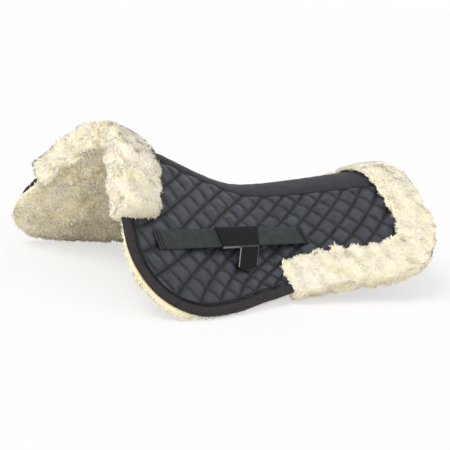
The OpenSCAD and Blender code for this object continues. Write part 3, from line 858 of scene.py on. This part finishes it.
@dataclass
class QuiltedPanel:
    """One half's quilted cover with its wadding: puffed squares between seams."""

    side: Side
    cover_t: float = 1.2
    wadding_t: float = 6.0
    puff_h: float = 5.0
    steps: int = 8

    def puff(self, i: Array, j: Array, x: Array, t: Array) -> Array:
        """Height of the quilting over the cover's flat, in mm."""
        a, b = (i + j) / 2, (i - j) / 2
        # The up-slanting seams are pulled tight; the others are shallower.
        main = np.abs(np.sin(math.pi * a)) ** 0.75
        cross = np.abs(np.sin(math.pi * b)) ** 0.9
        cell = np.floor(a) * 31 + np.floor(b) * 17
        uneven = 0.9 + 0.14 * np.sin(cell * 2.3)
        rim = (np.clip((i - 1) / 0.9, 0, 1) * np.clip((PAD.cols - 1 - i) / 0.9, 0, 1)
               * np.clip((PAD.rows - 0.72 - j) / 0.8, 0, 1) * np.clip(j / 0.45, 0, 1))
        folds = 0.45 * ripple(a * 2, b * 0.7, 0.8, 5) + 0.35 * ripple(x, t, 26.0, 9)
        return (self.puff_h * uneven * main * (0.5 + 0.5 * cross) + folds * main) \
            * np.sqrt(rim)

    def shape(self, u: Array, v: Array, w: Array) -> Fields:
        """Bends the cover's grid over the pad. See shaped."""
        i, j = u * PAD.cols, v * PAD.rows
        q = PAD.place(i, j)
        thin = np.clip(np.minimum(np.minimum(i, PAD.cols - i), PAD.rows - j) / 1.2, 0, 1)
        o = np.where(w > 0.5, self.cover_t + self.puff(i, j, q[:, 0], q[:, 1]),
                     -2.6 - (self.wadding_t - 2.6) * np.sqrt(thin))
        points = PAD.skin(q, o)
        self.tuck(points, w > 0.5)
        return {"co": self.side.turned(points), "cloth": q * MM,
                "quilt": np.stack([(i + j) / 2, (i - j) / 2], -1)}

    def tuck(self, points: Array, upper: Array) -> None:
        """Presses the puffs down under the strap and the loop patch.

        Args:
            points: The cover's points, changed in place.
            upper: Which of them are on its upper face.
        """
        rel = points - STRAP.a
        f = np.clip(rel @ STRAP.dir / STRAP.length, 0, 1)
        base = STRAP.a + STRAP.dir * (f * STRAP.length)[:, None]
        out = STRAP.out(f)
        side = np.abs(((points - base) * STRAP.across(f)).sum(1)) / MM
        past = np.linalg.norm((rel @ STRAP.dir - f * STRAP.length)[:, None], axis=1) / MM
        high = ((points - base) * out).sum(1) / MM + STRAP.thick / 2 + 0.35
        fade = np.clip((STRAP.width / 2 + 6 - side) / 5, 0, 1) * np.clip((5 - past) / 5, 0, 1)
        points -= out * (np.where(upper, np.maximum(high, 0) * fade, 0) * MM)[:, None]
        at = LEG.local(points)
        mid = LEG.length - LEG.width / 2 - LEG.patch_room
        gap = np.maximum(np.abs(at[:, 0] - mid) - LEG.patch_l / 2,
                         np.abs(at[:, 1]) - LEG.patch_w / 2)
        high = at[:, 2] + LEG.stack + 0.2
        fade = np.clip((5 - gap) / 5, 0, 1)
        face = STRAP.out(STRAP.sleeve_at)
        points -= face * (np.where(upper & (np.abs(high) < 12), np.maximum(high, 0) * fade,
                                   0) * MM)[:, None]

    def build(self) -> None:
        """Makes the cover and sets it in place of the frame's cover and wadding."""
        name = self.side.value + "_quilted_cover"
        cover = shaped(name, PAD.cols * self.steps, PAD.rows * self.steps, self.shape,
                       COTTON, thick=True)
        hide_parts(self.side.value + "_outer_panel", self.side.value + "_wadding")
        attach(cover, self.side.body)
        LOG.info("%s: %d faces", name, len(cover.data.polygons))


@dataclass
class FleeceLining:
    """One half's sheepskin underside, pinched at its edges and showing past the front."""

    side: Side
    top: float = -6.6
    low: float = -15.0
    edge_top: float = -3.2
    edge_t: float = 3.0
    peek: float = 11.0
    steps: int = 3
    wool: Fleece = field(default_factory=lambda: Fleece(5.2, 1.5, 2.7, 1.2))

    def shape(self, u: Array, v: Array, w: Array) -> Fields:
        """Bends the lining's grid under the pad. See shaped."""
        i, j = u * PAD.cols, v * PAD.rows
        q = PAD.place(i, j)
        inward = np.minimum(np.minimum(i, PAD.cols - i) / 1.4, (PAD.rows - j) / 1.6)
        full = np.sqrt(np.clip(inward, 0, 1))
        s = np.where(i < 0.01, PAD.front_in_s + (PAD.front_corner_s - PAD.front_in_s)
                     * np.interp(j, np.arange(PAD.rows + 1), PAD.front_row),
                     PAD.front_corner_s + (PAD.rear_corner_s - PAD.front_corner_s)
                     * np.interp(i, np.arange(PAD.cols + 1), PAD.col_at))
        edge = PAD.edge(s)
        amount = self.peek * np.clip((edge[:, 1] - 177) / 73, 0, 1) \
            * np.clip((-190 - edge[:, 0]) / 25, 0, 1)
        rim = (i < 0.01) | (j > PAD.rows - 0.01)
        q = np.where(rim[:, None], PAD.beside(s, amount), q)
        lumps = (3.4 * ripple(q[:, 0], q[:, 1], 75.0, 21)
                 + 1.6 * ripple(q[:, 0], q[:, 1], 34.0, 22)) * full
        rim_low = self.edge_top - self.edge_t
        under = rim_low + (self.low - rim_low) * full - lumps
        o = np.where(w > 0.5, self.edge_top + (self.top - self.edge_top) * full, under)
        return {"co": self.side.turned(self.settled(PAD.skin(q, o))), "cloth": q * MM,
                "bare": np.where((w > 0.5) & ~rim, 1.0, 0.0)}

    @staticmethod
    def settled(points: Array) -> Array:
        """Keeps points above the floor."""
        points[:, 2] = np.maximum(points[:, 2], 0.0005)
        return points

    def build(self) -> None:
        """Makes the lining and its wool."""
        name = self.side.value + "_fleece_lining_skin"
        skin = shaped(name, PAD.cols * self.steps, PAD.rows * self.steps, self.shape, WOOL,
                      thick=True)
        self.wool.seed = 40 if self.side is Side.LEFT else 50
        wool = self.wool.grow(skin, self.side.value + "_fleece_lining_wool")
        for piece in (skin, wool):
            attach(piece, self.side.body)
        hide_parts(self.side.value + "_fleece_lining")
        LOG.info("%s: %d faces of wool", name, len(wool.data.polygons))


class Roll(Enum):
    """The two fleece rolls of each half."""

    FRONT = "front"
    REAR = "rear"


@dataclass
class RollProfile:
    """The section of a fleece roll round the pad's edge, in mm."""

    base: float = 6.1
    fit: float = 0.3
    fleece_top: float = -6.6
    fleece_low: float = -18.6
    fleece_t: float = 12.0
    around: int = 44

    def ring(self, foot: float, high: float, bulge: float) -> Array:
        """The section's points [w, o], once round.

        Args:
            foot: The roll's width on the cover.
            high: Its height over the puffs.
            bulge: How far it bulges past the edge.

        Returns:
            The points, with the outer face first.
        """
        third = self.fleece_low + self.fleece_t / 3
        f = self.fit + 1
        points = np.array([
            (-foot - 1, self.base + 0.3 * high), (-0.86 * foot, self.base + 0.82 * high),
            (-0.4 * foot, self.base + high), (0.25 * bulge, self.base + 0.92 * high),
            (0.85 * bulge, self.base + 0.35 * high), (bulge, 0.5 * self.fleece_top),
            (0.8 * bulge, third), (0.3 * bulge, self.fleece_low + 1), (f, self.fleece_low + 1),
            (f, third), (f, 0), (f, self.base), (-0.6 * foot, self.base),
            (-foot, self.base)], float)
        at = np.interp(np.arange(self.around + 1) / self.around, [0, 0.72, 1], [0, 8, 14])
        at[-1] = 0
        return catmull_rom(points, at, True)

    @property
    def bare(self) -> Array:
        """Which points of the ring carry no wool, as a share."""
        v = np.arange(self.around + 1) / self.around
        return np.where((v > 0.77) & (v < 0.97), 1.0, 0.0)


@dataclass
class FleeceRoll:
    """One fleece roll of one half: a full, uneven roll of sheepskin round the edge."""

    side: Side
    roll: Roll
    profile: RollProfile = field(default_factory=RollProfile)
    step: float = 5.0
    dome: float = 13.0
    front_foot: float = 57.0
    crown_h: float = 13.0
    front_h: float = 10.0
    front_belly: float = 9.0
    slant: float = 0.5
    rear_foot: float = 45.0
    rear_crown_foot: float = 55.0
    rear_h: float = 6.5
    wool: Fleece = field(default_factory=lambda: Fleece(4.8, 1.0, 1.9, 1.15))

    def stations(self) -> Tuple[Array, Array]:
        """Distances along the edge, and how full the roll is at each."""
        if self.roll is Roll.FRONT:
            inner, outer = PAD.front_in_s, PAD.roll_end_s - 7
        else:
            inner, outer = PAD.rear_in_s, PAD.roll_start_s
        run = abs(outer - inner)
        n = int(run / self.step)
        d = np.concatenate([[0.0], np.linspace(0, run - self.dome, n),
                            run - self.dome * (1 - np.sin(np.linspace(0.2, 1.5708, 7)))])
        full = np.sqrt(np.clip(1 - ((d - run + self.dome).clip(0) / self.dome) ** 2, 0, 1))
        full[0] = 0.0
        return inner + (outer - inner) * d / run, full

    def rings(self, s: Array) -> Array:
        """The section's points at each station, as [w, o]."""
        rows: List[Array] = []
        for value in s:
            if self.roll is Roll.FRONT:
                f = (value - PAD.front_in_s) / (PAD.roll_end_s - PAD.front_in_s)
                high = self.crown_h + (self.front_h - self.crown_h) * f \
                    + 4 * f * (1 - f) * self.front_belly
                rows.append(self.profile.ring(self.front_foot, high, 17 - 6 * f))
            else:
                f = (value - PAD.roll_start_s) / (PAD.rear_in_s - PAD.roll_start_s)
                foot = self.rear_foot + (self.rear_crown_foot - self.rear_foot) * f
                rows.append(self.profile.ring(foot, self.rear_h, 10.5))
        return np.array(rows)

    def shape(self, u: Array, v: Array, w: Array) -> Fields:
        """Sweeps the section along the edge. See shaped."""
        s, full = self.stations()
        rings = self.rings(s)
        n, m = len(s) - 1, self.profile.around
        i, k = np.rint(u * n).astype(int), np.rint(v * m).astype(int)
        middle = rings.mean(1)[i]
        p = rings[i, k]
        seed = 3 if self.roll is Roll.FRONT else 8
        bare = self.profile.bare[k]
        run = k * 5.2
        swell = 1 + (1 - bare) * 0.09 * ripple(s[i], np.where(k == m, 0, run), 36.0, seed)
        p = middle + (p - middle) * (full[i] * swell)[:, None]
        q = PAD.beside(s[i], p[:, 0])
        if self.roll is Roll.FRONT:
            share = (s[i] - PAD.front_in_s) / (PAD.roll_end_s - PAD.front_in_s)
            q[:, 1] += share ** 2 * self.slant * p[:, 0]
        return {"co": self.side.turned(FleeceLining.settled(PAD.skin(q, p[:, 1]))),
                "cloth": np.stack([s[i], run], -1) * MM,
                "bare": np.where(i == 0, 1.0, bare)}

    def build(self) -> None:
        """Makes the roll and its wool."""
        name = f"{self.side.value}_{self.roll.value}_roll"
        s, _ = self.stations()
        skin = shaped(name + "_skin", len(s) - 1, self.profile.around, self.shape, WOOL)
        self.wool.seed = (60 if self.roll is Roll.FRONT else 70) \
            + (0 if self.side is Side.LEFT else 5)
        wool = self.wool.grow(skin, name + "_wool")
        for piece in (skin, wool):
            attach(piece, self.side.body)
        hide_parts(name)
        LOG.info("%s: %d faces of wool", name, len(wool.data.polygons))


@dataclass
class SpineFold:
    """The middle pieces that span the two halves, baked in place."""

    half_width: float = 0.03

    def apply(self, *pieces: bpy.types.Object) -> None:
        """Bakes each piece's transform into its mesh."""
        for piece in pieces:
            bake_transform(piece)


@dataclass
class RollCrown:
    """The fleece that carries a roll over the spine."""

    roll: Roll
    fold: SpineFold = field(default_factory=SpineFold)
    profile: RollProfile = field(default_factory=RollProfile)
    steps: int = 22
    wool: Fleece = field(default_factory=lambda: Fleece(4.8, 1.0, 1.9, 1.15))

    def shape(self, u: Array, v: Array, w: Array) -> Fields:
        """Sweeps the roll's end section over the spine. See shaped."""
        like = FleeceRoll(Side.LEFT, self.roll)
        s0 = PAD.front_in_s if self.roll is Roll.FRONT else PAD.rear_in_s
        ring = like.rings(np.array([s0]))[0]
        n, m = self.steps + 2, self.profile.around
        i, k = np.rint(u * n).astype(int), np.rint(v * m).astype(int)
        f = np.clip((i - 1) / self.steps, 0, 1) * 2 - 1
        full = np.where((i == 0) | (i == n), 0.0, 1.0)
        middle = ring.mean(0)
        bare = self.profile.bare[k]
        swell = 1 + (1 - bare) * 0.05 * ripple(f * 40, np.where(k == m, 0, k * 5.2), 38.0, 4)
        p = middle + (ring[k] - middle) * (full * swell)[:, None]
        q = PAD.beside(np.full(len(u), s0), p[:, 0])
        q = np.stack([q[:, 0], f * q[:, 1]], -1)
        return {"co": PAD.skin(q, p[:, 1]),
                "cloth": np.stack([f * 30, k * 5.2], -1) * MM,
                "bare": np.where((i == 0) | (i == n), 1.0, bare)}

    def build(self) -> None:
        """Makes the crown and its wool."""
        name = f"{self.roll.value}_roll_crown"
        skin = shaped(name + "_skin", self.steps + 2, self.profile.around, self.shape, WOOL)
        self.wool.seed = 80 if self.roll is Roll.FRONT else 85
        wool = self.wool.grow(skin, name + "_wool")
        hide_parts(name)
        self.fold.apply(skin, wool)
        LOG.info("%s: %d faces of wool", name, len(wool.data.polygons))


@dataclass
class SpineBands:
    """The woven tape along the topline and the fleece strip under it."""

    tape_t: float = 2.4
    strip_t: float = 9.5
    along: int = 130
    across: int = 24
    fold: SpineFold = field(default_factory=SpineFold)
    wool: Fleece = field(default_factory=lambda: Fleece(5.2, 1.5, 2.7, 1.2, 90))

    def band(self, u: Array, v: Array, low: Array, high: Array, w: Array) -> Fields:
        """Spans the spine between the two panels.

        Args:
            u: Share along the spine.
            v: Share across it.
            low: Height of the lower layer.
            high: Height of the upper one.
            w: The layer.

        Returns:
            The points and the cloth's UV map.
        """
        ft, rt = (PAD.edge(np.array(s)) for s in (PAD.front_in_s, PAD.rear_in_s))
        q = ft + (rt - ft) * u[:, None]
        f = v * 2 - 1
        place = np.stack([q[:, 0], f * q[:, 1]], -1)
        return {"co": PAD.skin(place, np.where(w > 0.5, high, low)),
                "cloth": place * MM}

    def tape(self, u: Array, v: Array, w: Array) -> Fields:
        """The tape, with soft edges and a slight pucker. See shaped."""
        f = np.abs(v * 2 - 1)
        edge = np.sqrt(np.clip((1 - f) / 0.06, 0, 1))
        seam = -0.9 * np.exp(-((f - 0.84) / 0.035) ** 2)
        pucker = 0.25 * ripple(u * 560, v * 60, 24.0, 33)
        x = PAD.front_top_x + (PAD.rear_top_x - PAD.front_top_x) * u
        crest = 3.0 * np.exp(-((x + 150) / 60) ** 2) * (1 - f ** 2)
        high = 0.6 + (self.tape_t + 0.6) * edge + crest + seam + pucker
        return self.band(u, v, np.zeros_like(u), high, w)

    def strip(self, u: Array, v: Array, w: Array) -> Fields:
        """The fleece strip. See shaped."""
        low = -0.3 - self.strip_t + ripple(u * 560, v * 60, 30.0, 34)
        fields = self.band(u, v, low, np.full_like(u, -0.3), w)
        fields["bare"] = np.where(w > 0.5, 1.0, 0.0)
        return fields

    def build(self) -> None:
        """Makes the tape, the strip and its wool."""
        tape = shaped("spine_tape_band", self.along, self.across, self.tape, SPINE_TAPE,
                      thick=True)
        strip = shaped("spine_strip_skin", self.along // 2, 12, self.strip, WOOL, thick=True)
        wool = self.wool.grow(strip, "spine_strip_wool")
        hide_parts("spine_tape")
        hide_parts("spine_lining_strip")
        self.fold.apply(tape, strip, wool)
        LOG.info("spine bands: %d faces", len(tape.data.polygons))


@dataclass
class EdgeBinding:
    """One half's folded binding tape, with the piping along its inner edge, in mm."""

    side: Side
    width: float = 12.5
    thick: float = 1.6
    lip: float = 1.5
    low: float = -2.8
    step: float = 3.0
    cord_r: float = 1.5

    def stations(self) -> Array:
        """Distances along the edge, from the pommel roll to the cantle roll."""
        start, end = PAD.roll_end_s + 2, PAD.roll_start_s - 0.3
        return np.linspace(start - 16, end + 4, int((end - start) / self.step))

    def sweep(self, ring: Array, u: Array, v: Array) -> Tuple[Array, Array, Array]:
        """Sweeps a closed section along the edge.

        Args:
            ring: The section's points [w, o], the last on the first.
            u: Share along the edge.
            v: Share round the section.

        Returns:
            The stations, the section's points, and each corner's number round it.
        """
        s = self.stations()
        s = np.concatenate([s[:1], s, s[-1:]])
        i = np.rint(u * (len(s) - 1)).astype(int)
        k = np.rint(v * (len(ring) - 1)).astype(int)
        ends = (i == 0) | (i == len(s) - 1)
        middle = ring[:-1].mean(0)
        return s[i], np.where(ends[:, None], middle, ring[k]), k

    def tape_ring(self) -> Array:
        """The folded tape's section: over the cover, round the edge and down."""
        top, out, lip = self.lip + self.thick + 0.8, self.thick + 0.6, self.lip
        outer = [(-self.width, lip + 0.4), (-self.width + 0.8, top - 0.3),
                 (-self.width * 0.7, top + 0.5), (-self.width * 0.4, top + 0.7),
                 (-self.width * 0.15, top + 0.3), (out * 0.5, top - 0.9),
                 (out, lip - 0.9), (out, -1.4), (out - 0.4, self.low)]
        inner = [(0.3, self.low), (0.3, lip - 0.6), (-0.6, lip), (-self.width, lip)]
        return np.array(outer + inner + outer[:1], float)

    def tape(self, u: Array, v: Array, w: Array) -> Fields:
        """The binding tape. See shaped."""
        s, p, k = self.sweep(self.tape_ring(), u, v)
        pucker = np.where(k < 8, 0.35 * ripple(s, p[:, 0], 17.0, 12), 0)
        return {"co": self.side.turned(PAD.skin(PAD.beside(s, p[:, 0]), p[:, 1] + pucker)),
                "cloth": np.stack([s, p[:, 0] + self.width], -1) * MM}

    def cord_ring(self) -> Array:
        """The piping's round section, beside the binding."""
        turn = np.linspace(0, 2 * math.pi, 11)
        return np.stack([-self.width - self.cord_r - 0.2 + self.cord_r * np.cos(turn),
                         1.2 + 1.5 + self.cord_r + self.cord_r * np.sin(turn)], -1)

    def cord(self, u: Array, v: Array, w: Array) -> Fields:
        """The piping. See shaped."""
        s, p, k = self.sweep(self.cord_ring(), u, v)
        return {"co": self.side.turned(PAD.skin(PAD.beside(s, p[:, 0]), p[:, 1])),
                "cloth": np.stack([s + 1.2 * k, p[:, 0]], -1) * MM}

    def build(self) -> None:
        """Makes the binding and the piping."""
        n = len(self.stations()) + 1
        for name, ring, shape, finish, node, slot in (
                ("binding_tape", self.tape_ring(), self.tape, BINDING, "lower_binding",
                 "binding_tape"),
                ("piping_cord", self.cord_ring(), self.cord, PIPING, "edge_piping",
                 "piping_cord")):
            piece = shaped(f"{self.side.value}_{name}", n, len(ring) - 1, shape, finish)
            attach(piece, self.side.body)
            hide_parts(f"{self.side.value}_{node}")
            LOG.info("%s: %d faces", piece.name, len(piece.data.polygons))


@dataclass
class BilletStrap:
    """One half's webbing strap with its sliding sleeve and hanging leg, in mm."""

    side: Side
    sleeve_l: float = 70.0
    sleeve_half_w: float = 17.7
    sleeve_half_t: float = 3.1
    wall: float = 1.2
    corner: float = 6.0
    leg_l: float = 35.0          # Fitted to the photograph, without the slanted start.

    def strap(self, u: Array, v: Array, w: Array) -> Fields:
        """The webbing, with thinner edges. See shaped."""
        e = (v * 2 - 1) * STRAP.width / 2
        half = STRAP.thick / 2 * (1 - 0.45 * np.abs(v * 2 - 1) ** 6)
        z = np.where(w > 0.5, half, -half)
        base = STRAP.a + STRAP.dir * (u * STRAP.length)[:, None]
        points = base + MM * (e[:, None] * STRAP.across(u) + z[:, None] * STRAP.out(u))
        return {"co": self.side.turned(points),
                "cloth": np.stack([u * STRAP.length / MM, e], -1) * MM}

    def sleeve(self, u: Array, v: Array, w: Array) -> Fields:
        """The sleeve's flat tube round the webbing. See shaped."""
        ring = self.tube_ring()
        k = np.rint(v * (len(ring) - 1)).astype(int)
        p = ring[k].copy()
        p[:, 0] -= np.where(w > 0.5, 0, self.wall * np.sign(p[:, 0])
                            * (np.abs(p[:, 0]) > self.sleeve_half_w - 2))
        p[:, 1] -= np.where(w > 0.5, 0, self.wall * np.sign(p[:, 1])
                            * (np.abs(p[:, 1]) > self.sleeve_half_t * 0.6))
        rear = self.sleeve_l / 2 + (self.sleeve_half_w - p[:, 0]) \
            * math.tan(math.radians(LEG.slant))
        y = -self.sleeve_l / 2 + u * (rear + self.sleeve_l / 2)
        points = STRAP.point(p[:, 0], y, p[:, 1], STRAP.sleeve_at)
        return {"co": self.side.turned(points),
                "cloth": np.stack([y, p[:, 0] * 15.6 / self.sleeve_half_w], -1) * MM}

    def tube_ring(self) -> Array:
        """The sleeve's section [x, z], a flat loop with round edges."""
        hw, ht = self.sleeve_half_w, self.sleeve_half_t
        turn = np.linspace(-math.pi / 2, math.pi / 2, 7)
        right = [(hw - ht * 0.6 + ht * 0.6 * math.cos(a), ht * math.sin(a)) for a in turn]
        top = [(x * hw, ht) for x in (0.5, 0, -0.5)]
        left = [(-x, -z) for x, z in right]
        bottom = [(-x, -z) for x, z in top]
        ring = right + top + left + bottom
        return np.array(ring + ring[:1], float)

    def leg(self, u: Array, v: Array, w: Array) -> Fields:
        """The hanging leg, which ends in a half round. See shaped."""
        k, r = math.radians(LEG.slant), LEG.width / 2
        down = u * self.leg_l
        start = (1 - v * 2) * r * math.tan(k)
        c = self.corner
        past = np.maximum(down - (self.leg_l - c), 0)
        half = r - c + np.sqrt(np.clip(c * c - past * past, 0, None))
        e = (v * 2 - 1) * half
        d = down + start
        x = d * math.cos(k) + e * math.sin(k)
        y = -d * math.sin(k) + e * math.cos(k)
        rim = np.clip((half - np.abs(e)) / 1.2, 0, 1)
        thin = 0.35 * (1 - np.sqrt(rim))
        z = np.where(w > 0.5, -thin, -LEG.thick + thin)
        return {"co": self.side.turned(LEG.point(np.maximum(x, 0), y, z)),
                "cloth": np.stack([down, (v * 2 - 1) * 15.6 * np.clip(half / r, 0.9, 1)],
                                  -1) * MM}

    def build(self) -> None:
        """Makes the strap, the sleeve and the leg, and dresses the frame's patches."""
        side = self.side.value
        for name, across, along, shape, finish, node, body, slot in (
                ("webbing_strap", 90, 10, self.strap, WEBBING, "billet_strap",
                 self.side.body, "webbing"),
                ("tab_sleeve", 20, len(self.tube_ring()) - 1, self.sleeve, TAB,
                 "keeper_sleeve", side + "_keeper", "tab_webbing"),
                ("tab_leg", 28, 24, self.leg, TAB, "tab_flap", side + "_tab",
                 "tab_webbing")):
            piece = shaped(f"{side}_{name}", across, along, shape, finish, thick=True)
            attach(piece, body)
            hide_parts(f"{side}_{node}")
            LOG.info("%s: %d faces", piece.name, len(piece.data.polygons))
        for node, finish in (("strap_tacks", THREAD), ("hook_patch", HOOKS),
                             ("loop_patch", HOOKS)):
            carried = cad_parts[f"{side}_{node}"]
            carried.data.materials.clear()
            carried.data.materials.append(finish.build())
            LOG.info("%s dressed", carried.name)


# ---- Studio ----

@dataclass
class Studio:
    """A pale floor, soft light and a camera at the photograph's angle."""

    azimuth: float = -37.4248
    elevation: float = 12.4091
    roll: float = 8.1283
    distance: float = 2.29351
    target: Tuple[float, float, float] = (0.0, 0.02873, 0.06860)
    lens: float = 118.576
    key: float = 1.4
    front: float = 1.1
    fill: float = 0.3
    sky: float = 0.6

    def camera(self) -> None:
        """Sets the camera."""
        a, e, r = (math.radians(v) for v in (self.azimuth, self.elevation, self.roll))
        back = np.array([math.sin(a) * math.cos(e), -math.cos(a) * math.cos(e),
                         math.sin(e)])
        right = np.array([math.cos(a), math.sin(a), 0.0])
        up = np.cross(back, right)
        cam = bpy.data.cameras.new("camera")
        cam.lens, cam.sensor_width, cam.clip_start = self.lens, 36.0, 0.01
        thing = bpy.data.objects.new("camera", cam)
        turn = np.eye(4)
        turn[:3, 0] = right * math.cos(r) + up * math.sin(r)
        turn[:3, 1] = -right * math.sin(r) + up * math.cos(r)
        turn[:3, 2] = back
        turn[:3, 3] = np.array(self.target) + back * self.distance
        thing.matrix_world = Matrix(turn.tolist())
        bpy.context.collection.objects.link(thing)
        bpy.context.scene.camera = thing

    def lamp(self, name: str, strength: float, azimuth: float, elevation: float,
             spread: float) -> None:
        """Adds a soft, even lamp.

        Args:
            name: Its name.
            strength: Its strength.
            azimuth: Degrees round from the -Y axis towards +X, where it stands.
            elevation: Degrees above the horizon.
            spread: The angle that it fills, in degrees.
        """
        light = bpy.data.lights.new(name, "SUN")
        light.energy, light.angle = strength, math.radians(spread)
        lamp = bpy.data.objects.new(name, light)
        lamp.rotation_euler = (math.radians(90 - elevation), 0, math.radians(azimuth))
        bpy.context.collection.objects.link(lamp)

    def seen(self, tree: bpy.types.NodeTree) -> Any:
        """A socket that is 1 for what the eye sees, also in gloss and through glass."""
        path = add_node(tree, "LightPath").outputs
        some = maths(tree, "MAXIMUM", path["Is Camera Ray"], path["Is Glossy Ray"])
        return maths(tree, "MAXIMUM", some, path["Is Transmission Ray"])

    def world(self) -> None:
        """A white background over an even, dimmer light."""
        world = bpy.data.worlds.new("studio")
        bpy.context.scene.world = world
        world.use_nodes = True
        tree = world.node_tree
        tree.nodes.clear()
        lit = add_node(tree, "Background", {"Color": linear("#ffffff"),
                                            "Strength": self.sky})
        plain = add_node(tree, "Background", {"Color": linear("#ffffff"), "Strength": 1.0})
        mix = add_node(tree, "MixShader", {0: self.seen(tree), 1: lit.outputs[0],
                                           2: plain.outputs[0]})
        add_node(tree, "OutputWorld", {0: mix.outputs[0]})

    def floor(self) -> None:
        """A pale sweep of paper that keeps the pad's shadow."""
        bm = bmesh.new()
        bmesh.ops.create_grid(bm, x_segments=2, y_segments=2, size=6.0)
        mesh = bpy.data.meshes.new("paper_floor")
        bm.to_mesh(mesh)
        bm.free()
        floor = bpy.data.objects.new("paper_floor", mesh)
        bpy.context.collection.objects.link(floor)
        paper = bpy.data.materials.new("white_paper")
        paper.use_nodes = True
        tree = paper.node_tree
        tree.nodes.clear()
        matt = add_node(tree, "BsdfDiffuse", {"Color": linear("#f4f4f4")})
        glow = add_node(tree, "Emission", {"Color": linear("#ffffff"), "Strength": 1.0})
        share = maths(tree, "MULTIPLY", self.seen(tree), 0.6)
        mix = add_node(tree, "MixShader", {0: share, 1: matt.outputs[0],
                                           2: glow.outputs[0]})
        add_node(tree, "OutputMaterial", {0: mix.outputs[0]})
        mesh.materials.append(paper)

    def build(self) -> None:
        """Sets up the camera, the lamps, the background and the floor."""
        self.camera()
        self.lamp("key", self.key, -75.0, 50.0, 30.0)
        self.lamp("front", self.front, -40.0, 14.0, 70.0)
        self.lamp("fill", self.fill, 35.0, 30.0, 60.0)
        self.world()
        self.floor()
        bpy.context.scene.view_settings.view_transform = "Standard"


def main() -> None:
    """Builds and dresses the whole pad."""
    logging.basicConfig(level=logging.INFO, format="%(name)s: %(message)s")
    Studio().build()
    parts: Sequence[Any] = [
        build for side in Side for build in (
            QuiltedPanel(side), FleeceLining(side), FleeceRoll(side, Roll.FRONT),
            FleeceRoll(side, Roll.REAR), EdgeBinding(side), BilletStrap(side))]
    for part in [*parts, SpineBands(), RollCrown(Roll.FRONT), RollCrown(Roll.REAR)]:
        part.build()


if __name__ == "__main__":
    main()
